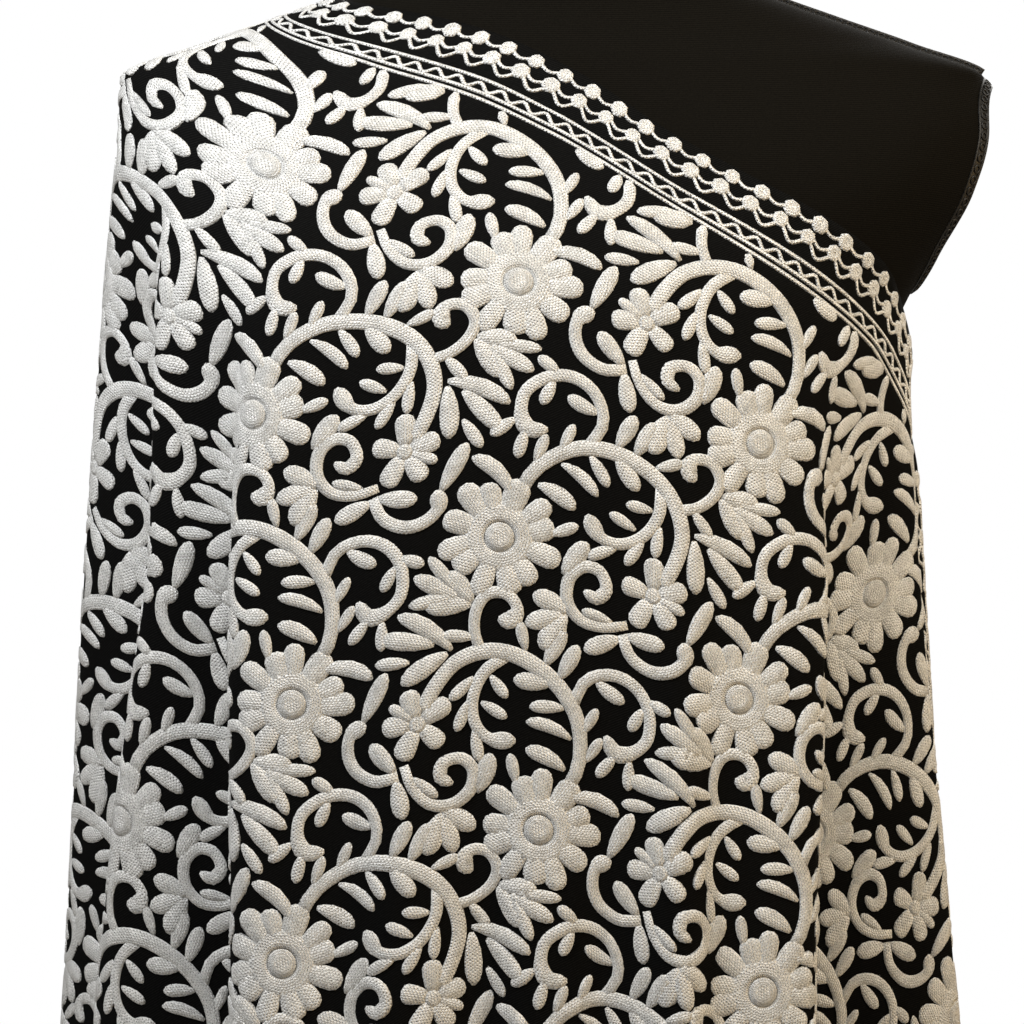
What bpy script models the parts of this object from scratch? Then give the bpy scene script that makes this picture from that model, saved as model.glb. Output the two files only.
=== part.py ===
"""An embroidered shawl draped over one shoulder of a limbless dress form. Metres, +Z up, the front faces -Y."""

import math

import bmesh
import bpy
import numpy as np

# The shawl's cut, and the wall that stands for its cloth and stitches
SHAWL_LENGTH = 2.00
SHAWL_WIDTH = 0.72
WALL = 0.0016
SEAM_GAP = 0.0005
REST_GAP = 0.0050
SHOULDER_GAP = 0.0067
SHOULDER_START = 1.395
# The dress form and its stand
FORM_BOTTOM = 0.790
NECK_TOP = 1.560
POLE_RADIUS = 0.014
BASE_RADIUS = 0.170
BASE_HEIGHT = 0.014
SOCKET_HEIGHT = 0.030
HUB_HEIGHT = 0.030
PIECE_GAP = 0.0003
# The trims sewn on the form: an oval braid, lifted clear of the form's flat facets
BRAID_WIDTH = 0.0050
BRAID_HEIGHT = 0.0024
BRAID_SIDES = 8
BRAID_LIFT = 0.0006
SHOULDER_BRAID_TOP = 1.4770
SHOULDER_BRAID_END = 1.4340
ARMHOLE_CENTRE = 1.3800
ARMHOLE_RISE = 0.0480
ARMHOLE_DEPTH = 0.0380

# The form's sections, bottom to top: height, half width, depth to the front and back, squareness
FORM_COLUMNS = ("height", "side", "front", "back", "square")
FORM_RINGS = (
    (0.790, 0.150, 0.084, 0.100, 2.2),
    (0.800, 0.162, 0.096, 0.113, 2.2),
    (0.860, 0.172, 0.106, 0.122, 2.2),
    (0.950, 0.157, 0.098, 0.108, 2.2),
    (1.060, 0.126, 0.086, 0.088, 2.2),
    (1.150, 0.134, 0.102, 0.090, 2.2),
    (1.240, 0.150, 0.130, 0.096, 2.3),
    (1.310, 0.156, 0.124, 0.100, 2.5),
    (1.345, 0.172, 0.114, 0.100, 2.7),
    (1.375, 0.190, 0.103, 0.096, 2.8),
    (1.405, 0.200, 0.089, 0.088, 2.5),
    (1.430, 0.199, 0.076, 0.078, 2.1),
    (1.444, 0.165, 0.067, 0.070, 2.0),
    (1.457, 0.128, 0.060, 0.064, 2.0),
    (1.468, 0.098, 0.056, 0.060, 2.0),
    (1.480, 0.075, 0.054, 0.058, 2.0),
    (1.500, 0.062, 0.053, 0.056, 2.0),
    (1.545, 0.056, 0.052, 0.054, 2.0),
)

# How far the hanging cloth stands out: height, then the distance to each side
HANG_COLUMNS = ("height", "left", "right", "front", "back", "square")
HANG_RINGS = (
    (0.300, 0.285, 0.232, 0.168, 0.168, 2.5),
    (0.600, 0.270, 0.220, 0.158, 0.160, 2.5),
    (0.860, 0.246, 0.200, 0.148, 0.146, 2.5),
    (0.986, 0.236, 0.184, 0.143, 0.134, 2.5),
    (1.200, 0.223, 0.170, 0.138, 0.112, 2.5),
    (1.310, 0.215, 0.164, 0.130, 0.106, 2.6),
    (1.400, 0.206, 0.160, 0.096, 0.094, 2.7),
    (1.440, 0.150, 0.120, 0.050, 0.050, 2.3),
    (1.480, 0.060, 0.060, 0.030, 0.030, 2.0),
)

# The top edge, from the crest of the shoulder: turn in degrees from the front on its way forward,
# turn on its way back, and height
EDGE_COLUMNS = ("turn", "back_turn", "height")
EDGE = (
    (-90, -90, 1.4690),
    (-73, -107, 1.4620),
    (-56, -124, 1.4530),
    (-20, -160, 1.4350),
    (9, -189, 1.4125),
    (27, -207, 1.3880),
    (42, -222, 1.3660),
    (54, -234, 1.3480),
    (66, -246, 1.3320),
    (75, -253, 1.3120),
    (82, -256, 1.2700),
    (89, -257, 1.2040),
    (93, -257, 1.1000),
    (96, -257, 0.9860),
    (97, -257, 0.8600),
    (97, -257, 0.7200),
    (97, -257, 0.5000),
)

# The large folds: height where each starts, turn of its line at three heights, half widths towards
# lower and higher turn, how far it stands out or in at those heights, and the degrees that it leans
MIDDLE, LOW, HEM = 1.200, 0.986, 0.600
FOLD_COLUMNS = ("top", "turn_mid", "turn_low", "turn_hem", "before", "after", "out_mid", "out_low", "out_hem", "lean")
FRONT_FOLDS = (
    (1.400, -73, -78, -79, 14, 10, -0.036, -0.034, -0.044, 0),
    (1.330, -58, -57, -57, 11, 9, -0.012, -0.030, -0.038, 3),
    (1.360, -47, -43, -42, 7, 10, 0.006, 0.011, 0.013, -3),
    (1.240, -27, -27, -27, 8, 9, 0.001, 0.007, 0.014, 0),
    (1.240, -14, -14, -13, 8, 8, 0.000, -0.008, -0.022, 0),
    (1.240, 6, 7, 8, 8, 8, 0.000, -0.006, -0.018, 0),
    (1.260, 20, 19, 18, 7, 7, 0.002, 0.009, 0.016, 0),
    (1.290, 41, 35, 34, 11, 7, 0.004, 0.010, 0.014, 3),
    (1.300, 55, 52, 51, 12, 14, -0.028, -0.046, -0.056, -2),
    (1.300, 66, 65, 64, 7, 6, 0.003, 0.010, 0.012, 2),
    (1.300, 77, 77, 77, 8, 8, -0.021, -0.042, -0.050, 0),
    (1.260, 94, 93, 93, 6, 7, -0.010, -0.032, -0.042, 0),
)
BACK_FOLDS = (
    (1.390, -103, -101, -100, 9, 9, -0.030, -0.042, -0.062, 0),
    (1.370, -112, -111, -110, 7, 7, 0.005, 0.010, 0.012, 0),
    (1.340, -122, -121, -120, 9, 8, -0.022, -0.044, -0.060, 0),
    (1.320, -141, -140, -139, 9, 9, -0.010, -0.034, -0.052, 0),
    (1.270, -158, -157, -156, 9, 9, 0.002, 0.006, 0.012, 0),
    (1.260, -175, -174, -173, 9, 9, 0.000, -0.010, -0.024, 0),
    (1.260, -197, -196, -196, 9, 9, 0.002, 0.005, 0.012, 0),
    (1.280, -216, -215, -214, 9, 9, -0.006, -0.018, -0.028, 0),
    (1.300, -235, -236, -237, 8, 8, -0.014, -0.038, -0.046, 0),
    (1.290, -250, -250, -250, 7, 7, -0.010, -0.034, -0.044, 0),
)

# Where cloth may gather: turns between which it runs flat, in degrees
SLACK_COLUMNS = ("start", "end")
SLACK = (
    (-300, -228),
    (-142, -52),
    (46, 130),
)
SLACK_BLUR = 10
BIAS_BLUR = 0.010
# How steeply the top edge runs down, in degrees, at places along it either way from the crest
BIAS_COLUMNS = ("place", "slope")
BIAS = (
    (0.00, 0),
    (0.03, 15),
    (0.07, 24),
    (0.12, 28),
    (0.22, 31),
    (0.31, 33),
    (0.36, 45),
    (0.41, 58),
    (0.50, 64),
    (0.70, 67),
    (1.00, 68),
)

# How finely the drape is worked out, and how the spare cloth shares out
STATIONS = 801
EDGE_SAMPLES = 1200
SECTION_SAMPLES = 900
LEVEL_STEP = 0.004
LOWEST = 0.320
LONGEST_FALL = 1.00
FALL_STEP = 0.004
LEAST_WIDTH = 0.15
EVEN_SHARE = 0.15
SOFT_LIMIT = 0.004
# The wall's grid: rows that grow longer downwards, columns closer together where the cloth folds
ROWS = 24
ROW_GROWTH = 1.35
SHARED_FALL = 0.35
FLAT_SHARE = 0.45
SEAM_LOOK = 0.002

# Each stretch of the shawl that shows: first and last place along the top edge, and its columns
STRETCH_COLUMNS = ("name", "start", "end", "columns")
STRETCHES = (
    ("shawl_back", -0.970, -0.070, 46),
    ("shawl_shoulder", -0.070, 0.070, 33),
    ("shawl_front", 0.070, 0.970, 50),
)


def column(table, names, name):
    """One named column of a table, as an array."""
    return np.array([row[names.index(name)] for row in table], float)


def smooth(x, xs, ys):
    """A curve through the points that never overshoots them, held level past its ends."""
    x = np.clip(np.asarray(x, float), xs[0], xs[-1])
    step = np.diff(xs)
    slope = np.diff(ys) / step
    tangent = np.zeros(len(xs))
    before, after = slope[:-1], slope[1:]
    same = before * after > 0
    weight = step[:-1] + 2 * step[1:], 2 * step[:-1] + step[1:]
    middle = np.zeros(len(before))
    total = weight[0][same] + weight[1][same]
    middle[same] = total / (weight[1][same] / before[same] + weight[0][same] / after[same])
    tangent[1:-1] = middle
    tangent[0], tangent[-1] = slope[0], slope[-1]
    i = np.clip(np.searchsorted(xs, x, side="right") - 1, 0, len(xs) - 2)
    t = (x - xs[i]) / step[i]
    return (
        (1 + 2 * t) * (1 - t) ** 2 * ys[i]
        + t * (1 - t) ** 2 * step[i] * tangent[i]
        + t**2 * (3 - 2 * t) * ys[i + 1]
        + t**2 * (t - 1) * step[i] * tangent[i + 1]
    )


def ring_radius(turn, right, left, front, back, square):
    """Distance from the axis to a rounded section, at a turn in radians from the front."""
    across, along = np.sin(turn), np.cos(turn)
    side = np.where(across > 0, right, left)
    depth = np.where(along > 0, front, back)
    return (np.abs(across / side) ** square + np.abs(along / depth) ** square) ** (-1 / square)


def form_radius(turn, height):
    heights = column(FORM_RINGS, FORM_COLUMNS, "height")
    side, front, back, square = (
        smooth(height, heights, column(FORM_RINGS, FORM_COLUMNS, name)) for name in FORM_COLUMNS[1:]
    )
    return ring_radius(turn, side, side, front, back, square)


def hang_radius(turn, height):
    heights = column(HANG_RINGS, HANG_COLUMNS, "height")
    left, right, front, back, square = (
        smooth(height, heights, column(HANG_RINGS, HANG_COLUMNS, name)) for name in HANG_COLUMNS[1:]
    )
    return ring_radius(turn, right, left, front, back, square)


def fold_shape(turn, height):
    """How far the folds push the cloth out, and how far they lean it round, at a turn and height."""
    out = np.zeros(np.broadcast(turn, height).shape)
    lean = np.zeros(out.shape)
    degrees = np.degrees(turn)
    for row in FRONT_FOLDS + BACK_FOLDS:
        fold = dict(zip(FOLD_COLUMNS, row))
        heights = np.array([HEM, LOW, MIDDLE, fold["top"]])
        crest = smooth(height, heights[:3], np.array([fold["turn_hem"], fold["turn_low"], fold["turn_mid"]], float))
        depth = smooth(height, heights, np.array([fold["out_hem"], fold["out_low"], fold["out_mid"], 0.0]))
        away = degrees - crest
        away = np.where(away < 0, away / fold["before"], away / fold["after"])
        bump = np.where(np.abs(away) < 1, np.cos(np.clip(away, -1, 1) * math.pi / 2) ** 2, 0)
        out = out + depth * bump
        lean = lean + math.radians(fold["lean"]) * bump * np.clip(depth / fold["out_low"], 0, 1.2)
    return out, lean


def surface(turn, height):
    """A point of the draped cloth's middle, at a turn in radians and a height."""
    out, lean = fold_shape(turn, height)
    hanging = hang_radius(turn, height) + out
    rise = np.clip((height - SHOULDER_START) / 0.02, 0, 1)
    resting = form_radius(turn, height) + REST_GAP + (SHOULDER_GAP - REST_GAP) * rise
    radius = 0.5 * (hanging + resting + np.sqrt((hanging - resting) ** 2 + SOFT_LIMIT**2)) - 0.3 * SOFT_LIMIT
    radius = np.maximum(radius, resting)
    turn = turn + lean
    return np.stack([radius * np.sin(turn), -radius * np.cos(turn), height + 0 * radius], axis=-1)


def edge_curve():
    """The top edge as arrays: place along it, turn, height. Place 0 is the crest of the shoulder."""
    rows = np.arange(len(EDGE))
    steps = np.linspace(0, len(EDGE) - 1, EDGE_SAMPLES)
    front, back, height = (smooth(steps, rows, column(EDGE, EDGE_COLUMNS, name)) for name in EDGE_COLUMNS)
    turn = np.concatenate([back[:0:-1], front])
    height = np.concatenate([height[:0:-1], height])
    turn = np.radians(turn)
    points = surface(turn, height)
    place = np.concatenate([[0], np.cumsum(np.linalg.norm(np.diff(points, axis=0), axis=1))])
    place -= place[len(place) // 2]
    return place, turn, height


def blurred(values, places, width):
    """Values averaged over a width of the places, which are evenly spaced."""
    reach = int(3 * width / (places[1] - places[0]))
    weights = np.exp(-0.5 * (np.arange(-reach, reach + 1) * (places[1] - places[0]) / width) ** 2)
    padded = np.concatenate([np.full(reach, values[0]), values, np.full(reach, values[-1])])
    return np.convolve(padded, weights / weights.sum(), "valid")


def slack_weight(turn):
    """1 where the cloth may gather, 0 where it runs flat, with soft ends."""
    degrees = np.degrees(turn)
    weight = 0 * degrees
    for row in SLACK:
        zone = dict(zip(SLACK_COLUMNS, row))
        rise = np.clip((degrees - zone["start"]) / SLACK_BLUR + 0.5, 0, 1)
        fall = np.clip((zone["end"] - degrees) / SLACK_BLUR + 0.5, 0, 1)
        weight = weight + np.minimum(rise, fall)
    return weight


def lay_out():
    """The drape as arrays over place along the edge and distance fallen: places, bias, falls, turn, height."""
    place, turn, height = edge_curve()
    half = SHAWL_LENGTH / 2
    places = np.linspace(-half, half, STATIONS)
    edge_turn = np.interp(places, place, turn)
    edge_height = np.interp(places, place, height)
    edge = surface(edge_turn, edge_height)
    slopes = column(BIAS, BIAS_COLUMNS, "slope")
    bias = np.radians(smooth(np.abs(places), column(BIAS, BIAS_COLUMNS, "place"), slopes)) * np.sign(places)
    bias = blurred(bias, places, BIAS_BLUR)
    turning = np.gradient(bias, places)

    levels = np.arange(edge_height.max() - 1e-4, LOWEST, -LEVEL_STEP)
    fallen = np.full((len(levels), STATIONS), np.nan)
    turns = np.full((len(levels), STATIONS), np.nan)
    last = edge.copy()
    run = np.zeros(STATIONS)
    for k, level in enumerate(levels):
        hung = edge_height > level
        first, end = np.argmax(hung), STATIONS - np.argmax(hung[::-1])
        inside = np.arange(first, end)
        low = crossing(places, edge_height, first - 1, level)
        high = crossing(places, edge_height, end - 1, level)
        along = np.concatenate([[low], places[inside], [high]])
        width = np.cos(bias[inside]) + run[inside] * turning[inside]
        width = np.clip(width, LEAST_WIDTH, None)
        width = np.concatenate([[width[0]], width, [width[-1]]])
        flat = np.concatenate([[0], np.cumsum(0.5 * (width[1:] + width[:-1]) * np.diff(along))])
        ends = np.interp((low, high), places, edge_turn)
        section = np.linspace(*ends, SECTION_SAMPLES)
        points = surface(section, level)
        round_it = np.concatenate([[0], np.cumsum(np.linalg.norm(np.diff(points, axis=0), axis=1))])
        at = spread_cloth(flat, along, round_it, section, places, edge_turn)
        turns[k, inside] = np.interp(at[1:-1], round_it, section)
        here = surface(turns[k, inside], level)
        run[inside] += np.linalg.norm(here - last[inside], axis=1)
        last[inside] = here
        fallen[k, inside] = run[inside]

    falls = np.arange(0, LONGEST_FALL, FALL_STEP)
    turn_of = np.empty((len(falls), STATIONS))
    height_of = np.empty((len(falls), STATIONS))
    for i in range(STATIONS):
        kept = np.isfinite(fallen[:, i])
        steps = np.concatenate([[0], fallen[kept, i]])
        turn_of[:, i] = np.interp(falls, steps, np.concatenate([[edge_turn[i]], turns[kept, i]]))
        height_of[:, i] = np.interp(falls, steps, np.concatenate([[edge_height[i]], levels[kept]]))
    return places, bias, falls, turn_of, height_of


def crossing(places, edge_height, i, level):
    """The place between samples i and i + 1 where the edge passes a level."""
    i = int(np.clip(i, 0, len(places) - 2))
    rise = edge_height[i + 1] - edge_height[i]
    share = np.clip((level - edge_height[i]) / rise, 0, 1) if rise else 0
    return places[i] + share * (places[i + 1] - places[i])


def spread_cloth(flat, along, round_it, section, places, edge_turn):
    """Lays the flat width round a section, with the spare cloth taken up where it may gather."""
    stops = [0.0, round_it[-1]]
    held = [0.0, flat[-1]]
    for centre in (-math.pi, 0.0):
        if section[0] < centre < section[-1]:
            stops.insert(-1, np.interp(centre, section, round_it))
            held.insert(-1, np.interp(np.interp(centre, edge_turn, places), along, flat))
    weight = slack_weight(section)
    taken = np.concatenate([[0], np.cumsum(0.5 * (weight[1:] + weight[:-1]) * np.diff(round_it))])
    cloth = np.empty(len(round_it))
    for low, high, flat_low, flat_high in zip(stops, stops[1:], held, held[1:]):
        inside = (round_it >= low - 1e-9) & (round_it <= high + 1e-9)
        room = high - low
        spare = flat_high - flat_low - room
        gather = np.interp(high, round_it, taken) - np.interp(low, round_it, taken)
        even = EVEN_SHARE * room
        share = taken - np.interp(low, round_it, taken) + even * (round_it - low) / room
        cloth[inside] = flat_low + (round_it[inside] - low) + spare * share[inside] / (gather + even)
    cloth = np.maximum.accumulate(cloth)
    return np.interp(flat, cloth, round_it)


def fall_line(drape, at, shares):
    """Points of the cloth's middle down one fall line, at shares of its length."""
    places, bias, falls, turn_of, height_of = drape
    lean = np.interp(at, places, bias)
    to_side = SHAWL_WIDTH / math.cos(lean)
    to_end = (SHAWL_LENGTH / 2 - abs(at)) / max(abs(math.sin(lean)), 1e-6)
    down = min(to_side, to_end, falls[-1]) * shares
    i = (at - places[0]) / (places[1] - places[0])
    low = int(min(math.floor(i), len(places) - 2))
    share = i - low
    turn, height = (
        np.interp(down, falls, table[:, low] * (1 - share) + table[:, low + 1] * share)
        for table in (turn_of, height_of)
    )
    return surface(turn, height)


def sheet_grid(drape, start, end, columns):
    """Points and normals of the cloth's middle between two places on the top edge, short of each seam."""
    shares = np.linspace(0, 1, ROWS + 1) ** ROW_GROWTH
    at = column_places(drape, start, end, columns)
    points = np.array([fall_line(drape, place, shares) for place in at])
    after = [fall_line(drape, place + SEAM_LOOK, shares) for place in at[[0, -1]]]
    before = [fall_line(drape, place - SEAM_LOOK, shares) for place in at[[0, -1]]]
    across = np.concatenate([[after[0] - before[0]], points[2:] - points[:-2], [after[1] - before[1]]])
    normal = np.cross(across, np.gradient(points, axis=1))
    normal /= np.linalg.norm(normal, axis=2)[..., None]
    across /= np.linalg.norm(across, axis=2)[..., None]
    points[0] += across[0] * SEAM_GAP / 2
    points[-1] -= across[-1] * SEAM_GAP / 2
    return points, normal


def column_places(drape, start, end, columns):
    """Places on the top edge whose fall lines hang evenly apart some way down, and closer where it gathers."""
    places, bias, falls, turn_of, height_of = drape
    row = int(round(SHARED_FALL / FALL_STEP))
    hung = surface(turn_of[row], height_of[row])
    apart = np.linalg.norm(np.diff(hung[:, :2], axis=0), axis=1)
    weight = FLAT_SHARE + slack_weight(turn_of[row])
    reach = np.concatenate([[0], np.cumsum(apart * 0.5 * (weight[1:] + weight[:-1]))])
    ends = np.interp((start, end), places, reach)
    return np.interp(np.linspace(*ends, columns + 1), reach, places)


def add_object(name, mesh, material):
    obj = bpy.data.objects.new(name, mesh)
    bpy.context.scene.collection.objects.link(obj)
    obj.data.materials.append(material)
    return obj


def wall_object(name, grid, normal, thickness, material):
    """A wall of even thickness about a grid of points, closed round its rim."""
    count, rows = grid.shape[:2]
    outer = grid + normal * thickness / 2
    inner = grid - normal * thickness / 2
    mesh = bmesh.new()
    face_points = []
    for layer in (outer, inner):
        face_points.append([[mesh.verts.new(point) for point in line] for line in layer])
    for i in range(count - 1):
        for j in range(rows - 1):
            cell = (i, j), (i + 1, j), (i + 1, j + 1), (i, j + 1)
            diagonals = [np.linalg.norm(grid[cell[k]] - grid[cell[k + 2]]) for k in (0, 1)]
            if diagonals[1] < diagonals[0]:
                cell = cell[1:] + cell[:1]
            for three in (cell[:3], (cell[0], cell[2], cell[3])):
                mesh.faces.new([face_points[0][k][m] for k, m in three])
                mesh.faces.new([face_points[1][k][m] for k, m in three[::-1]])
    rim = [(i, 0) for i in range(count)]
    rim += [(count - 1, j) for j in range(1, rows)]
    rim += [(i, rows - 1) for i in range(count - 2, -1, -1)]
    rim += [(0, j) for j in range(rows - 2, 0, -1)]
    for (i, j), (k, m) in zip(rim, rim[1:] + rim[:1]):
        mesh.faces.new([face_points[0][k][m], face_points[0][i][j], face_points[1][i][j], face_points[1][k][m]])
    data = bpy.data.meshes.new(name)
    mesh.to_mesh(data)
    mesh.free()
    data.shade_smooth()
    return add_object(name, data, material)


def plain_material(name, colour, roughness, metallic=0.0):
    material = bpy.data.materials.new(name)
    material.use_nodes = True
    shader = material.node_tree.nodes["Principled BSDF"]
    shader.inputs["Base Color"].default_value = (*colour, 1)
    shader.inputs["Roughness"].default_value = roughness
    shader.inputs["Metallic"].default_value = metallic
    return material


def loft_object(name, rings, material):
    """A closed solid through rings of points, bottom to top, with flat ends."""
    mesh = bmesh.new()
    loops = [[mesh.verts.new(point) for point in ring] for ring in rings]
    for low, high in zip(loops, loops[1:]):
        for i in range(len(low)):
            k = (i + 1) % len(low)
            mesh.faces.new([low[i], low[k], high[k], high[i]])
    mesh.faces.new(loops[0][::-1])
    mesh.faces.new(loops[-1])
    data = bpy.data.meshes.new(name)
    mesh.to_mesh(data)
    mesh.free()
    data.shade_smooth()
    return add_object(name, data, material)


def build_form():
    """The limbless torso: one smooth closed body from the hip to the neck."""
    fabric = plain_material("black_knit", (0.006, 0.006, 0.007), 0.9)
    turns = np.linspace(0, 2 * math.pi, 41)[:-1]
    heights = np.concatenate([
        [FORM_BOTTOM, 0.797, 0.810],
        np.linspace(0.850, 1.300, 11),
        np.linspace(1.325, 1.415, 5),
        [1.430, 1.439, 1.448, 1.457, 1.466, 1.476, 1.490, 1.510, NECK_TOP - 0.022],
    ])
    rings = []
    for height in heights:
        radius = form_radius(turns, height)
        rings.append(np.stack([radius * np.sin(turns), -radius * np.cos(turns), 0 * turns + height], axis=-1))
    loft_object("dress_form", rings, fabric)


def form_point(turn, height):
    radius = form_radius(turn, height)
    return np.stack([radius * np.sin(turn), -radius * np.cos(turn), height + 0 * radius], axis=-1)


def braid_object(name, turns, heights, material, closed):
    """A flat braid laid along a line on the form, as a tube of oval section."""
    step = 1e-4
    line = form_point(turns, heights)
    normal = np.cross(
        form_point(turns + step, heights) - form_point(turns - step, heights),
        form_point(turns, heights + step) - form_point(turns, heights - step),
    )
    normal /= np.linalg.norm(normal, axis=1)[:, None]
    if closed:
        along = np.roll(line, -1, axis=0) - np.roll(line, 1, axis=0)
    else:
        along = np.gradient(line, axis=0)
    along /= np.linalg.norm(along, axis=1)[:, None]
    across = np.cross(along, normal)
    middle = line + normal * (BRAID_LIFT + BRAID_HEIGHT / 2)
    rings = []
    for turn in np.linspace(0, 2 * math.pi, BRAID_SIDES + 1)[:-1]:
        oval = across * math.cos(turn) * BRAID_WIDTH / 2 + normal * math.sin(turn) * BRAID_HEIGHT / 2
        rings.append(middle + oval)
    rings = np.array(rings).transpose(1, 0, 2)
    mesh = bmesh.new()
    loops = [[mesh.verts.new(point) for point in ring] for ring in rings]
    pairs = list(zip(loops, loops[1:]))
    if closed:
        pairs.append((loops[-1], loops[0]))
    for low, high in pairs:
        for i in range(BRAID_SIDES):
            k = (i + 1) % BRAID_SIDES
            mesh.faces.new([low[i], low[k], high[k], high[i]])
    if not closed:
        mesh.faces.new(loops[0][::-1])
        mesh.faces.new(loops[-1])
    bmesh.ops.recalc_face_normals(mesh, faces=mesh.faces)
    data = bpy.data.meshes.new(name)
    mesh.to_mesh(data)
    mesh.free()
    data.shade_smooth()
    return add_object(name, data, material)


def build_braids():
    """The trims that show: along the bare shoulder and round its armhole."""
    cord = plain_material("black_braid", (0.008, 0.008, 0.009), 0.6)
    crest = np.linspace(SHOULDER_BRAID_TOP, SHOULDER_BRAID_END, 16)
    braid_object("shoulder_braid", np.full(len(crest), math.pi / 2), crest, cord, False)
    turns = np.linspace(0, 2 * math.pi, 41)[:-1]
    depth = ARMHOLE_DEPTH * np.cos(turns)
    heights = ARMHOLE_CENTRE + ARMHOLE_RISE * np.sin(turns)
    around = np.full(len(turns), math.pi / 2)
    for repeat in range(12):
        around = math.pi / 2 + np.arcsin(np.clip(depth / form_radius(around, heights), -0.9, 0.9))
    braid_object("arm_braid", around, heights, cord, True)


def round_object(name, profile, material, sides=32):
    """A turned solid from a profile of radius and height, bottom to top."""
    turns = np.linspace(0, 2 * math.pi, sides + 1)[:-1]
    rings = [np.stack([r * np.sin(turns), -r * np.cos(turns), 0 * turns + z], axis=-1) for r, z in profile]
    return loft_object(name, rings, material)


def build_stand():
    wood = plain_material("dark_wood", (0.030, 0.018, 0.012), 0.45)
    metal = plain_material("black_metal", (0.012, 0.012, 0.013), 0.4)
    round_object(
        "neck_cap",
        (
            (0.0540, NECK_TOP - 0.0217),
            (0.0575, NECK_TOP - 0.0190),
            (0.0575, NECK_TOP - 0.0130),
            (0.0480, NECK_TOP - 0.0080),
            (0.0200, NECK_TOP - 0.0030),
            (0.0080, NECK_TOP),
        ),
        wood,
    )
    round_object(
        "pole_socket",
        (
            (0.024, FORM_BOTTOM - SOCKET_HEIGHT),
            (0.028, FORM_BOTTOM - 0.0260),
            (0.034, FORM_BOTTOM - 0.0060),
            (0.046, FORM_BOTTOM - PIECE_GAP),
        ),
        metal,
        24,
    )
    round_object(
        "pole",
        (
            (POLE_RADIUS, BASE_HEIGHT + HUB_HEIGHT + PIECE_GAP),
            (POLE_RADIUS, FORM_BOTTOM - SOCKET_HEIGHT - PIECE_GAP),
        ),
        metal,
        20,
    )
    round_object(
        "base",
        (
            (BASE_RADIUS - 0.002, 0.0),
            (BASE_RADIUS, 0.002),
            (BASE_RADIUS, BASE_HEIGHT - 0.005),
            (BASE_RADIUS - 0.005, BASE_HEIGHT - 0.001),
            (0.040, BASE_HEIGHT + 0.002),
            (0.026, BASE_HEIGHT + 0.012),
            (0.020, BASE_HEIGHT + HUB_HEIGHT),
        ),
        metal,
        48,
    )


def build_shawl():
    """The stretches of the shawl that show: down the back, over the shoulder and across the front."""
    cloth = plain_material("embroidered_cloth", (0.55, 0.54, 0.50), 0.7)
    drape = lay_out()
    for row in STRETCHES:
        stretch = dict(zip(STRETCH_COLUMNS, row))
        grid, normal = sheet_grid(drape, stretch["start"], stretch["end"], stretch["columns"])
        wall_object(stretch["name"], grid, normal, WALL, cloth)


def main():
    for obj in list(bpy.data.objects):
        bpy.data.objects.remove(obj)
    build_form()
    build_braids()
    build_stand()
    build_shawl()


main()
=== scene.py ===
import math

import bpy
import numpy as np
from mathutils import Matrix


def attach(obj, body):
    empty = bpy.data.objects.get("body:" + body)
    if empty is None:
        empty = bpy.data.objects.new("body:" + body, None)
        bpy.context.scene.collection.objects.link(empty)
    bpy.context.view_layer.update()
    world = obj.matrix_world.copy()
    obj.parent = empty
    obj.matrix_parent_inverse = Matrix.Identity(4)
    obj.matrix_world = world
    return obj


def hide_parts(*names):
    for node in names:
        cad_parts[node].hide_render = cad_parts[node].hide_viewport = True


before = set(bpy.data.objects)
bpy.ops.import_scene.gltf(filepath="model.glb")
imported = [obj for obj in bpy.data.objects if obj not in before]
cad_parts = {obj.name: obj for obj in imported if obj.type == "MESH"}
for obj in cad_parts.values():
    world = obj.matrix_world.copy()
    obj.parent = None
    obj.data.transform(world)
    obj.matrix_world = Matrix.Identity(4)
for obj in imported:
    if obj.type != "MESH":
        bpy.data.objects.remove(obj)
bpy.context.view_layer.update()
bpy.ops.object.select_all(action="DESELECT")
print("frame loaded")

# The cloth's drape, with the same sizes and folds as its solids

cut = {"length": 2.00, "width": 0.72, "thickness": 0.0006, "columns": 520, "rows": 84, "rowGrowth": 1.15}

drape = {
    "restGap": 0.0050, "shoulderGap": 0.0067, "shoulderStart": 1.395, "shoulderBlend": 0.02,
    "softLimit": 0.004, "softShare": 0.3,
    "middle": 1.200, "low": 0.986, "hem": 0.600, "slackBlur": 10, "biasBlur": 0.010,
    "stations": 801, "edgeSamples": 1200, "sectionSamples": 900, "levelStep": 0.004, "lowest": 0.320,
    "longestFall": 1.00, "fallStep": 0.004, "leastWidth": 0.15, "evenShare": 0.15,
    "sharedFall": 0.35, "flatShare": 0.45,
}

formRings = (  # height, half width, depth in front and behind, and how square the section is
    (0.790, 0.150, 0.084, 0.100, 2.2),
    (0.800, 0.162, 0.096, 0.113, 2.2),
    (0.860, 0.172, 0.106, 0.122, 2.2),
    (0.950, 0.157, 0.098, 0.108, 2.2),
    (1.060, 0.126, 0.086, 0.088, 2.2),
    (1.150, 0.134, 0.102, 0.090, 2.2),
    (1.240, 0.150, 0.130, 0.096, 2.3),
    (1.310, 0.156, 0.124, 0.100, 2.5),
    (1.345, 0.172, 0.114, 0.100, 2.7),
    (1.375, 0.190, 0.103, 0.096, 2.8),
    (1.405, 0.200, 0.089, 0.088, 2.5),
    (1.430, 0.199, 0.076, 0.078, 2.1),
    (1.444, 0.165, 0.067, 0.070, 2.0),
    (1.457, 0.128, 0.060, 0.064, 2.0),
    (1.468, 0.098, 0.056, 0.060, 2.0),
    (1.480, 0.075, 0.054, 0.058, 2.0),
    (1.500, 0.062, 0.053, 0.056, 2.0),
    (1.545, 0.056, 0.052, 0.054, 2.0),
)

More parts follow.
